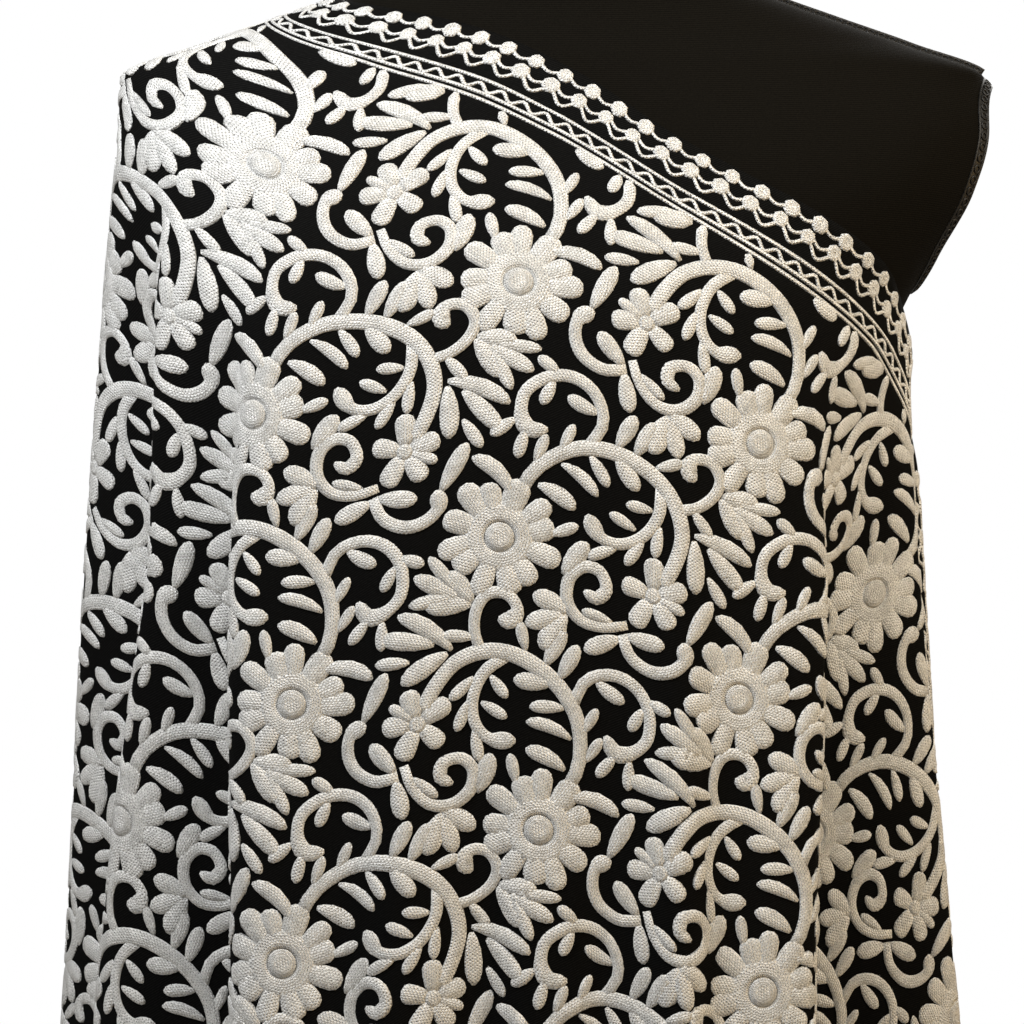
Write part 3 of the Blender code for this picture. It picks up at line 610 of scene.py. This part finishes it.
def curveThrough(points, count):  # a soft curve through the points, at even steps of its length
    p = np.array(points, float)
    p = np.vstack([2 * p[0] - p[1], p, 2 * p[-1] - p[-2]])
    line = []
    for i in range(1, len(p) - 2):
        for t in np.linspace(0, 1, 12, endpoint=False):
            line.append(0.5 * (
                2 * p[i] + (p[i + 1] - p[i - 1]) * t
                + (2 * p[i - 1] - 5 * p[i] + 4 * p[i + 1] - p[i + 2]) * t ** 2
                + (3 * p[i] - p[i - 1] - 3 * p[i + 1] + p[i + 2]) * t ** 3
            ))
    line = np.array(line + [p[-2]])
    reach = np.concatenate([[0], np.cumsum(np.linalg.norm(np.diff(line, axis=0), axis=1))])
    at = np.linspace(0, reach[-1], count)
    return np.stack([np.interp(at, reach, line[:, k]) for k in (0, 1)], axis=1)


def leafPad(x, y, way, length, width, bend=0.0, form=leafForm):  # way 0 is along the cloth, 90 down it
    shares, halves = np.array(form, float).T
    heading = np.radians(way + bend * (shares - 0.35))
    step = np.stack([np.cos(heading), np.sin(heading)], axis=1) * length
    middle = 0.5 * (step[1:] + step[:-1]) * np.diff(shares)[:, None]
    return np.array([x, y]) + np.vstack([[0, 0], np.cumsum(middle, axis=0)]), halves * width / 2


def vinePad(points, start, middle, end, stations, head):
    t = np.linspace(0, 1, int(1.25 * stations)) ** 0.75
    half = np.interp(t, [0, 0.5, 1], [start / 2, middle / 2, end / 2])
    if head:  # the tip swells and closes in a round
        s = np.clip((t - 0.78) / 0.22, 0, 1)
        swell = np.clip(s / 0.45, 0, 1) ** 2 * (3 - 2 * np.clip(s / 0.45, 0, 1))
        close = np.sqrt(1 - np.clip((s - 0.50) / 0.52, 0, 1) ** 2)
        half = (half + (head / 2 - half) * swell) * close
    line = curveThrough(points, 200)
    return np.stack([np.interp(t, np.linspace(0, 1, 200), line[:, k]) for k in (0, 1)], axis=1), half


def flowerMotif():  # one repeat, about its large flower
    pads = [vinePad(*row) for row in vines] + [leafPad(*row) for row in leaves]
    for x, y, radius, core, root, petals in flowers:
        for k, (way, width) in enumerate(petals):
            r = math.radians(way)
            start = radius * root
            long = radius * (1 + 0.08 * math.sin(2.4 * k)) - start
            at = (x + start * math.cos(r), y + start * math.sin(r))
            pads.append(leafPad(*at, way, long, width, 8 * math.sin(k), petalForm))
        pads.append(("disc", x, y, radius * core))
    return pads


def placedPads():  # every repeat on the flat cloth, in millimetres from the middle of its top edge
    motif = flowerMotif()
    inset = vineWork["fieldInset"]
    reachX, low, high = 1000 * cut["length"] / 2 - inset, inset, 1000 * cut["width"] - inset
    placed = []
    for row in range(-1, vineWork["rows"] + 1):
        flip = -1 if row % 2 else 1
        middle = vineWork["firstRow"] + row * vineWork["down"]
        shift = vineWork["oddStart"] if row % 2 else vineWork["evenStart"]
        count = int(reachX / vineWork["along"]) + 2
        for k in range(-count, count + 1):
            start = shift + k * vineWork["along"]
            for pad in motif:
                if isinstance(pad[0], str):
                    x, y, radius = start + flip * pad[1], middle + pad[2], pad[3]
                    if abs(x) + radius < reachX and low < y - radius and y + radius < high:
                        placed.append(("disc", x, y, radius))
                    continue
                spine = pad[0] * (flip, 1) + (start, middle)
                kept = (np.abs(spine[:, 0]) < reachX) & (spine[:, 1] > low) & (spine[:, 1] < high)
                first, end = longestRun(kept)
                if end - first == len(kept):
                    placed.append((spine, pad[1]))
                elif end - first >= 4:
                    half = pad[1][first:end].copy()
                    half[[0, -1]] *= (1 if first == 0 else 0.5, 1 if end == len(kept) else 0.5)
                    placed.append((spine[first:end], half))
    return placed


def longestRun(kept):
    best, start = (0, 0), None
    for i, inside in enumerate(list(kept) + [False]):
        if inside and start is None:
            start = i
        if not inside and start is not None:
            best = max(best, (start, i), key=lambda run: run[1] - run[0])
            start = None
    return best


def ribbons(pads, across, rounded):  # flat points, their lift, faces, and the thread's own coordinates
    points, lifts, uvs, quads, caps = [], [], [], [], []
    across, rounded = np.array(across, float), np.array(rounded, float)
    total, k = 0, len(across)
    for spine, half in pads:
        n = len(spine)
        along = np.gradient(spine, axis=0)
        along /= np.linalg.norm(along, axis=1)[:, None]
        side = np.stack([-along[:, 1], along[:, 0]], axis=1)
        reach = np.concatenate([[0], np.cumsum(np.linalg.norm(np.diff(spine, axis=0), axis=1))])
        shift = spine[0].sum()
        points.append((spine[:, None] + side[:, None] * (half[:, None] * across)[..., None]).reshape(-1, 2))
        plump = np.clip(half / stitch["fullHalf"], stitch["leastRise"], 1)[:, None]
        plump[[0, -1]] *= stitch["endRise"]
        lifts.append((stitch["rise"] * rounded * plump - stitch["sunk"] * (rounded == 0)).reshape(-1))
        uvs.append(np.stack([np.repeat(reach + shift, k), (half[:, None] * across).reshape(-1)], axis=1))
        grid = total + np.arange(n * k).reshape(n, k)
        after = np.roll(grid, -1, axis=1)
        quads.append(np.stack([grid[:-1], after[:-1], after[1:], grid[1:]], axis=-1).reshape(-1, 4))
        caps += [grid[0][::-1], grid[-1]]
        total += n * k
    uvs = np.concatenate(uvs)
    quads, caps = np.concatenate(quads), np.array(caps)
    return np.concatenate(points), np.concatenate(lifts), [quads, caps], [uvs[quads], uvs[caps]]


def domes(discs, form, sides=14, crimp=0.0):  # round closed pads, with the thread's rows round them
    shares, rises = np.array(form[:-1], float).T
    rings, turns = len(shares), np.linspace(0, 2 * math.pi, sides + 1)
    edge = 1 + crimp * np.cos(np.arange(sides) * math.pi)
    steps = np.linspace(0, 1, rings)[:, None]
    wave = edge * (1 - steps) + steps
    lift = stitch["rise"] * rises - stitch["sunk"] * (rises == 0)
    points, lifts, quads, tris, caps, around = [], [], [], [], [], []
    total = 0
    for _, x, y, radius in discs:
        circle = np.stack([np.cos(turns[:-1]), np.sin(turns[:-1])], axis=1) * radius
        points += [(circle * (shares[:, None] * wave)[..., None] + (x, y)).reshape(-1, 2), [[x, y]]]
        lifts += [np.repeat(lift, sides), [stitch["rise"] * form[-1][1]]]
        grid = total + np.arange(rings * sides).reshape(rings, sides)
        after = np.roll(grid, -1, axis=1)
        quads.append(np.stack([grid[:-1], after[:-1], after[1:], grid[1:]], axis=-1).reshape(-1, 4))
        tris.append(np.stack([grid[-1], after[-1], np.full(sides, total + rings * sides)], axis=-1))
        caps.append(grid[0][::-1])
        u = np.stack([turns[:-1], turns[1:], turns[1:], turns[:-1]], axis=-1) * radius * 0.75 + x
        for low, high in zip(shares, shares[1:]):
            v = np.broadcast_to(np.array([low, low, high, high]) * radius, u.shape)
            around.append(np.stack([u, v], axis=-1))
        total += rings * sides + 1
    quads, tris, caps = np.concatenate(quads), np.concatenate(tris), np.array(caps)
    flat = np.concatenate(points)
    uvs = [np.concatenate(around), flat[tris], flat[caps]]
    return flat, np.concatenate(lifts), [quads, tris, caps], uvs


def sewnPiece(name, laid, parts, material):  # parts are the results of ribbons and domes
    flat, lifts, faces, uvs, total = [], [], [], [], 0
    for points, lift, groups, corners in parts:
        flat.append(points)
        lifts.append(lift)
        faces += [group + total for group in groups]
        uvs += [corner / 1000 for corner in corners]
        total += len(points)
    flat = np.concatenate(flat) / 1000
    turn, height = onCloth(laid, flat[:, 0], np.clip(flat[:, 1], 0, None))
    placed = liftedPoints(turn, height, np.concatenate(lifts) + cut["thickness"] / 2)
    piece = pieceFrom(name, placed, faces, uvs, material)
    print(name, "triangles", sum(len(face.vertices) - 2 for face in piece.data.polygons))
    return piece


def makeVineWork(laid, material):
    pads = placedPads()
    edges = np.linspace(-1000 * cut["length"] / 2, 1000 * cut["length"] / 2, vineWork["pieces"] + 1)
    pieces = []
    for k in range(vineWork["pieces"]):
        strokes, discs = [], []
        for pad in pads:
            isDisc = isinstance(pad[0], str)
            x = pad[1] if isDisc else pad[0][:, 0].mean()
            if edges[k] <= x < edges[k + 1]:
                (discs if isDisc else strokes).append(pad)
        small = [disc for disc in discs if disc[3] < vineWork["smallEye"]]
        large = [disc for disc in discs if disc[3] >= vineWork["smallEye"]]
        sewn = ribbons(strokes, stitch["across"], stitch["round"])
        parts = [sewn, domes(small, eyeForm), domes(large, coreForm, vineWork["coreSides"])]
        pieces.append(sewnPiece("flowerWork" + str(k + 1), laid, parts, material))
    return pieces


# The border: two rows of dots joined by waved chain, then two straight chains with a zigzag between

border = {
    "dotStep": 14.6, "outerInset": 5.2, "outerRadius": 4.15, "innerInset": 13.0, "innerRadius": 4.15,
    "lines": (24.5, 31.2, 34.2), "zigzagInset": 28.4, "zigzagReach": 1.75, "zigzagStep": 10.6,
    "swagInset": 17.4, "swagReach": 2.6, "innerShift": -0.20, "chainHalf": 1.3, "waveStep": 1.3,
    "outerWave": (0.6, 1.3), "innerWave": (0.4, 1.6), "lineStep": 4.0, "crimp": 0.05, "dotSides": 14,
}


def borderPads():
    halfLength, width = 1000 * cut["length"] / 2, 1000 * cut["width"]
    sides = (  # start corner, way along, way in, length
        ((-halfLength, 0), (1, 0), (0, 1), 2 * halfLength),
        ((halfLength, 0), (0, 1), (-1, 0), width),
        ((halfLength, width), (-1, 0), (0, -1), 2 * halfLength),
        ((-halfLength, width), (0, -1), (1, 0), width),
    )
    chains, discs = [], []
    for corner, way, inward, length in sides:
        corner, way, inward = (np.array(v, float) for v in (corner, way, inward))

        def across(along, inset):
            return corner + np.outer(along, way) + np.outer(inset, inward)

        def chain(inset, wave=0.0, period=1.0, phase=0.0, step=border["lineStep"]):
            count = int((length - 2 * inset) / step) + 1
            along = np.linspace(inset, length - inset, count)
            insets = inset + wave * np.sin(2 * math.pi * (along / period + phase))
            chains.append((across(along, insets), np.full(count, border["chainHalf"])))

        first = border["outerInset"]
        count = int(round((length - 2 * first) / border["dotStep"]))
        period = (length - 2 * first) / count
        for k in range(count):
            at = first + k * period
            size = 1 + 0.07 * math.sin(5.3 * k)
            discs.append(("disc", *across([at], [first])[0], border["outerRadius"] * size))
            at += border["innerShift"] * period
            if border["innerInset"] < at < length - border["innerInset"]:
                inset = border["innerInset"] + 0.5 * math.sin(3.1 * k)
                discs.append(("disc", *across([at], [inset])[0], border["innerRadius"] * (2 - size)))
        phase = -first / period - 0.25  # each wave hangs lowest between two dots
        inner = phase - border["innerShift"]
        below, reach = border["outerWave"]
        chain(first + below, reach, period, phase, border["waveStep"])
        below, reach = border["innerWave"]
        chain(border["innerInset"] + below, reach, period, inner, border["waveStep"])
        chain(border["swagInset"], border["swagReach"], period, inner - 0.05, border["waveStep"])
        chain(border["zigzagInset"], border["zigzagReach"], border["zigzagStep"], 0, border["waveStep"])
        for inset in border["lines"]:
            chain(inset)
    return chains, discs


def makeBorder(laid, thread):
    chains, discs = borderPads()
    dots = domes(discs, dotForm, border["dotSides"], border["crimp"])
    parts = [ribbons(chains, (-1, 0, 1), (0, 1.5, 0)), dots]
    return sewnPiece("borderWork", laid, parts, thread)


laid = layOut()
clothMaterial = twillCloth()
threadMaterial = chainThread()
cloth = makeCloth(laid, clothMaterial)
print("cloth laid", len(cloth.data.polygons))
sewn = makeVineWork(laid, threadMaterial)
sewn.append(makeBorder(laid, threadMaterial))
print("embroidery sewn")

# The dress form, its braids and its stand

form = {
    "sides": 160, "bottom": 0.790, "top": 1.538, "roundRim": 0.006, "rimHeight": 0.010,
    "startRadius": 0.15, "insets": (0.030, 0.060),
    "levels": ((0.790, 1.396, 66), (1.400, 1.480, 46), (1.486, 1.538, 8)),
}


def formPoints(turn, height):
    radius = formRadius(turn, height)
    return np.stack([radius * np.sin(turn), -radius * np.cos(turn), height + 0 * radius], axis=-1)


def makeForm(material):  # a ring extruded upwards again and again, each ring then set to the torso's section
    heights = np.concatenate([np.linspace(*levels) for levels in form["levels"]])
    bpy.ops.mesh.primitive_circle_add(vertices=form["sides"], radius=form["startRadius"], location=(0, 0, 0))
    torso = bpy.context.object
    torso.name = torso.data.name = "smoothForm"
    bpy.ops.object.mode_set(mode="EDIT")
    bpy.ops.mesh.select_all(action="SELECT")
    for low, high in zip(heights, heights[1:]):
        bpy.ops.mesh.extrude_region_move(TRANSFORM_OT_translate={"value": (0, 0, high - low)})
    bpy.ops.mesh.edge_face_add()
    for thickness in form["insets"]:
        bpy.ops.mesh.inset(thickness=thickness)
    bpy.ops.mesh.select_all(action="DESELECT")
    bpy.ops.object.mode_set(mode="OBJECT")
    places = np.empty(len(torso.data.vertices) * 3)
    torso.data.vertices.foreach_get("co", places)
    places = places.reshape(-1, 3)
    level = places[:, 2] + form["bottom"]
    turn = np.arctan2(places[:, 0], -places[:, 1])
    share = np.clip(np.hypot(places[:, 0], places[:, 1]) / form["startRadius"], 0, 1)
    drop = form["roundRim"] * np.clip(1 - (level - form["bottom"]) / form["rimHeight"], 0, 1) ** 2
    points = formPoints(turn, np.clip(level, form["bottom"], form["top"]))
    points[:, :2] *= (share - drop / form["startRadius"])[:, None]
    torso.data.vertices.foreach_set("co", points.reshape(-1))
    bpy.ops.object.mode_set(mode="EDIT")
    bpy.ops.mesh.select_all(action="DESELECT")
    bpy.ops.mesh.select_non_manifold()
    bpy.ops.mesh.edge_face_add()
    bpy.ops.mesh.select_all(action="SELECT")
    bpy.ops.mesh.normals_make_consistent(inside=False)
    bpy.ops.object.mode_set(mode="OBJECT")
    torso.data.shade_smooth()
    torso.data.materials.append(material)
    torso.select_set(False)
    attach(torso, "root")
    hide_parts("dress_form")


braid = {
    "width": 0.0056, "height": 0.0016, "cord": 0.0008, "cordInset": 0.0004,
    "ringStep": 0.0052, "ringOut": 0.00165, "ringThick": 0.0005, "ringLift": 0.0002,
    "ringLong": 1.05, "ringWide": 0.9,
    "shoulderTop": 1.4770, "shoulderEnd": 1.4320, "shoulderLift": 0.0009, "shoulderFacing": (0.9, 0, -1),
    "armholeAt": 1.3800, "armholeRise": 0.0480, "armholeDepth": 0.0380, "armholeLift": 0.0010,
    "armholeFacing": (1, 0.8, 0),
}


def tubeAlong(line, normal, across, offset, halfWidth, halfHeight, sides, closed):
    turns = np.linspace(0, 2 * math.pi, sides + 1)[:-1]
    oval = (
        across[:, None] * (offset + halfWidth * np.cos(turns))[None, :, None]
        + normal[:, None] * (halfHeight * np.sin(turns))[None, :, None]
    )
    points = (line[:, None] + oval).reshape(-1, 3)
    grid = np.arange(len(points)).reshape(len(line), sides)
    ahead = np.roll(grid, -1, axis=0) if closed else grid[1:]
    here = grid if closed else grid[:-1]
    faces = [np.stack([here, ahead, np.roll(ahead, -1, 1), np.roll(here, -1, 1)], axis=-1).reshape(-1, 4)]
    if not closed:
        faces.append(np.array([grid[0], grid[-1][::-1]]))
    return points, faces


# facing tips the tape off the form
def makeBraid(name, node, turns, heights, closed, facing, lift, material):
    step = 1e-4  # small enough to give the surface's slope
    line = formPoints(turns, heights)
    gap = np.linalg.norm(np.diff(np.vstack([line, line[:1]]) if closed else line, axis=0), axis=1)
    reach = np.concatenate([[0], np.cumsum(gap)])
    rings = int(round(reach[-1] / braid["ringStep"]))
    count = 4 * rings + (0 if closed else 1)
    at = np.linspace(0, reach[-1], count, endpoint=not closed)
    wrapped = np.append(turns, turns[0]) if closed else turns
    raised = np.append(heights, heights[0]) if closed else heights
    turns, heights = np.interp(at, reach, wrapped), np.interp(at, reach, raised)
    line = formPoints(turns, heights)
    normal = np.cross(
        formPoints(turns + step, heights) - formPoints(turns - step, heights),
        formPoints(turns, heights + step) - formPoints(turns, heights - step),
    )
    normal /= np.linalg.norm(normal, axis=1)[:, None]
    along = np.roll(line, -1, axis=0) - np.roll(line, 1, axis=0) if closed else np.gradient(line, axis=0)
    along /= np.linalg.norm(along, axis=1)[:, None]
    lifted = line + normal * lift
    outwards = line - np.array([0, 0, braid["armholeAt"]]) if closed else np.zeros(line.shape)
    outwards[:, 0] = 0
    outwards /= np.maximum(np.linalg.norm(outwards, axis=1), 1e-6)[:, None]
    normal = normal * facing[0] + outwards * facing[1] + np.array([0, facing[2], 0])
    normal -= along * (normal * along).sum(axis=1)[:, None]
    normal /= np.linalg.norm(normal, axis=1)[:, None]
    across = np.cross(along, normal)
    half, cord = braid["width"] / 2, braid["cord"]
    parts = [tubeAlong(lifted, normal, across, 0, half, braid["height"] / 2, 10, closed)]
    for side in (-1, 1):
        edge = lifted + normal * braid["cordInset"]
        offset = side * (half - braid["cordInset"])
        parts.append(tubeAlong(edge, normal, across, offset, cord, cord, 8, closed))
    spin = np.linspace(0, 2 * math.pi, 15)[:-1]
    for k in range(2, count, 4):
        middle = lifted[k] + normal[k] * (braid["height"] / 2 + braid["ringLift"])
        ring = middle + braid["ringOut"] * (
            np.outer(np.cos(spin), along[k]) * braid["ringLong"]
            + np.outer(np.sin(spin), across[k]) * braid["ringWide"]
        )
        outward = (ring - middle) / np.linalg.norm(ring - middle, axis=1)[:, None]
        upright = np.repeat(normal[k][None], len(spin), axis=0)
        parts.append(tubeAlong(ring, upright, outward, 0, braid["ringThick"], braid["ringThick"], 6, True))
    points, faces, total = [], [], 0
    for part, groups in parts:
        points.append(part)
        faces += [group + total for group in groups]
        total += len(part)
    flat = np.concatenate(points)
    piece = pieceFrom(name, flat, faces, [flat[group][..., :2] for group in faces], material)
    bpy.context.view_layer.objects.active = piece
    piece.select_set(True)
    bpy.ops.object.mode_set(mode="EDIT")
    bpy.ops.mesh.select_all(action="SELECT")
    bpy.ops.mesh.normals_make_consistent(inside=False)
    bpy.ops.object.mode_set(mode="OBJECT")
    piece.select_set(False)
    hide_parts(node)


def makeBraids(material):
    crest = np.linspace(braid["shoulderTop"], braid["shoulderEnd"], 40)
    middle = np.full(len(crest), math.pi / 2)
    makeBraid(
        "shoulderLoops", "shoulder_braid", middle, crest, False,
        braid["shoulderFacing"], braid["shoulderLift"], material,
    )
    spin = np.linspace(0, 2 * math.pi, 121)[:-1]
    depth = braid["armholeDepth"] * np.cos(spin)
    heights = braid["armholeAt"] + braid["armholeRise"] * np.sin(spin)
    around = np.full(len(spin), math.pi / 2)
    for _ in range(12):  # closes in on the turn at which the form has that depth
        around = math.pi / 2 + np.arcsin(np.clip(depth / formRadius(around, heights), -0.9, 0.9))
    makeBraid(
        "armholeLoops", "arm_braid", around, heights, True,
        braid["armholeFacing"], braid["armholeLift"], material,
    )


def jerseyKnit():  # fine black jersey with narrow wales, faintly warm
    material, desk, sockets = newMaterial(
        "blackJersey", (0.005, 0.0045, 0.004), 0.95, Specular_IOR_Level=0.05,
    )
    place = objectPlace(desk)
    courses = desk.add("ShaderNodeTexWave", {
        "Vector": place, "Scale": 330.0, "Distortion": 1.5, "Detail": 2.0, "Detail Scale": 3.0,
    }, bands_direction="Z")
    wales = desk.sum("MULTIPLY", courses.outputs["Fac"], 0.35)
    tone = desk.sum("MULTIPLY_ADD", desk.noise(place, 1400.0, 2.0), 0.5, wales)
    worn = desk.sum("MULTIPLY", desk.noise(place, 9.0, 3.0), 0.4)
    colour = desk.ramp(tone, ((0.15, (0.0014, 0.0012, 0.0009)), (0.70, (0.0075, 0.0066, 0.0048))))
    colour = desk.mix(worn, colour, (0.005, 0.0038, 0.0026, 1))
    finish(desk, sockets, colour, None, tone, 0.5, 0.0003)
    return material


def braidThread():  # black rayon cord, twisted
    material, desk, sockets = newMaterial("blackBraid", (0.006, 0.006, 0.006), 0.5, Specular_IOR_Level=0.35)
    twist = desk.noise(objectPlace(desk), 1100.0, 3.0)
    colour = desk.ramp(twist, ((0.3, (0.002, 0.002, 0.002)), (0.7, (0.016, 0.015, 0.014))))
    finish(desk, sockets, colour, desk.sum("MULTIPLY_ADD", twist, 0.3, 0.35), twist, 0.6, 0.0003)
    return material


def capWood():  # dark stained wood under satin varnish
    material, desk, sockets = newMaterial(
        "stainedWood", (0.03, 0.017, 0.01), 0.35, Coat_Weight=0.35, Coat_Roughness=0.2,
    )
    drawn = desk.add("ShaderNodeMapping", {"Vector": objectPlace(desk), "Scale": (1.0, 9.0, 9.0)}).outputs[0]
    grain = desk.sum("MULTIPLY", desk.noise(drawn, 38.0, 6.0, Distortion=0.6), 0.7)
    mixed = desk.sum("MULTIPLY_ADD", desk.noise(drawn, 260.0, 2.0), 0.3, grain)
    stain = ((0.3, (0.012, 0.006, 0.003)), (0.55, (0.035, 0.018, 0.009)), (0.75, (0.07, 0.036, 0.018)))
    rough = desk.sum("MULTIPLY_ADD", mixed, 0.25, 0.25)
    finish(desk, sockets, desk.ramp(mixed, stain), rough, mixed, 0.25, 0.0003)
    return material


def blackCoating():  # black powder coat with a fine pebble and a few dull rubs
    material, desk, sockets = newMaterial("blackCoat", (0.012, 0.012, 0.013), 0.42)
    place = objectPlace(desk)
    rubbed = desk.noise(place, 14.0, 5.0, Roughness=0.7)
    colour = desk.ramp(rubbed, ((0.35, (0.009, 0.009, 0.010)), (0.75, (0.022, 0.022, 0.023))))
    rough = desk.sum("MULTIPLY_ADD", rubbed, 0.3, 0.28)
    finish(desk, sockets, colour, rough, desk.noise(place, 900.0, 2.0), 0.3, 0.0002)
    return material


def finishStand():  # the stand's shapes are already right, so they only get their finish
    wood, coat = capWood(), blackCoating()
    for name in ("neck_cap", "pole_socket", "pole", "base"):
        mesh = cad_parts[name].data
        mesh.materials.clear()
        mesh.materials.append(wood if name == "neck_cap" else coat)


makeForm(jerseyKnit())
makeBraids(braidThread())
finishStand()
print("form and stand finished")

# Stage, light and camera

stage = {"reach": 2.6}
photo = {"eye": (-0.0226, -1.600, 1.227), "pixel": 0.00047, "pixels": 1024, "sensor": 36.0}
room = {"colour": (1.0, 0.90, 0.76), "strength": 0.10, "seen": (1.0, 1.0, 1.0)}
lamps = (  # name, place, aimed at, size, watts, colour
    ("highLeft", (-0.50, -0.47, 1.96), (-0.04, 0, 1.32), 0.30, 8.6, (0.96, 0.98, 1.0)),
    ("highRight", (0.50, -0.50, 1.92), (0.09, 0, 1.33), 0.4, 7.0, (1.0, 0.92, 0.78)),
    ("warmRight", (1.6, -0.75, 1.2), (0.1, 0, 1.1), 0.5, 9.0, (1.0, 0.66, 0.27)),
    ("softLeft", (-1.9, -0.9, 1.2), (-0.1, 0, 1.1), 0.8, 7.0, (1.0, 0.985, 0.96)),
    ("behind", (0.7, 1.9, 2.3), (0, 0, 1.1), 1.4, 30, (1.0, 0.98, 0.95)),
)


def makeStage():
    bpy.ops.mesh.primitive_plane_add(size=2 * stage["reach"], location=(0, 0, 0))
    floor = bpy.context.object
    floor.name = floor.data.name = "paleFloor"
    paper, desk, sockets = newMaterial("palePaper", (0.88, 0.88, 0.87), 0.9)
    fibres = desk.noise(objectPlace(desk), 3.0, 8.0)
    colour = desk.ramp(fibres, ((0.3, (0.86, 0.86, 0.85)), (0.7, (0.90, 0.90, 0.89))))
    desk.feed(sockets["Base Color"], colour)
    floor.data.materials.append(paper)
    floor.select_set(False)


def makeLamp(name, place, aim, size, watts, colour):
    light = bpy.data.lights.new(name, "AREA")
    light.size, light.energy, light.color = size, watts, colour
    lamp = bpy.data.objects.new(name, light)
    lamp.location = place
    away = np.array(aim, float) - np.array(place, float)
    yaw = math.atan2(away[1], away[0]) - math.pi / 2
    pitch = math.atan2(away[2], math.hypot(away[0], away[1])) + math.pi / 2
    lamp.rotation_euler = (pitch, 0, yaw)
    bpy.context.scene.collection.objects.link(lamp)


def makeCamera():
    camera = bpy.data.cameras.new("photoView")
    camera.sensor_width = photo["sensor"]
    camera.lens = photo["sensor"] * abs(photo["eye"][1]) / (photo["pixel"] * photo["pixels"])
    eye = bpy.data.objects.new("photoView", camera)
    eye.location = photo["eye"]
    eye.rotation_euler = (math.pi / 2, 0, 0)
    bpy.context.scene.collection.objects.link(eye)
    bpy.context.scene.camera = eye


def makeWorld():  # a white backdrop to look at, and a dim warm room to light with
    world = bpy.data.worlds.new("softRoom")
    world.use_nodes = True
    desk = NodeDesk(world.node_tree)
    background = world.node_tree.nodes["Background"]
    seen = desk.add("ShaderNodeLightPath").outputs["Is Camera Ray"]
    dim = [room["strength"] * value for value in room["colour"]]
    desk.feed(background.inputs["Color"], desk.mix(seen, (*dim, 1), (*room["seen"], 1)))
    background.inputs["Strength"].default_value = 1.0
    bpy.context.scene.world = world


makeStage()
for row in lamps:
    makeLamp(*row)
makeCamera()
makeWorld()
bpy.context.scene.view_settings.view_transform = "Standard"
print("stage set")
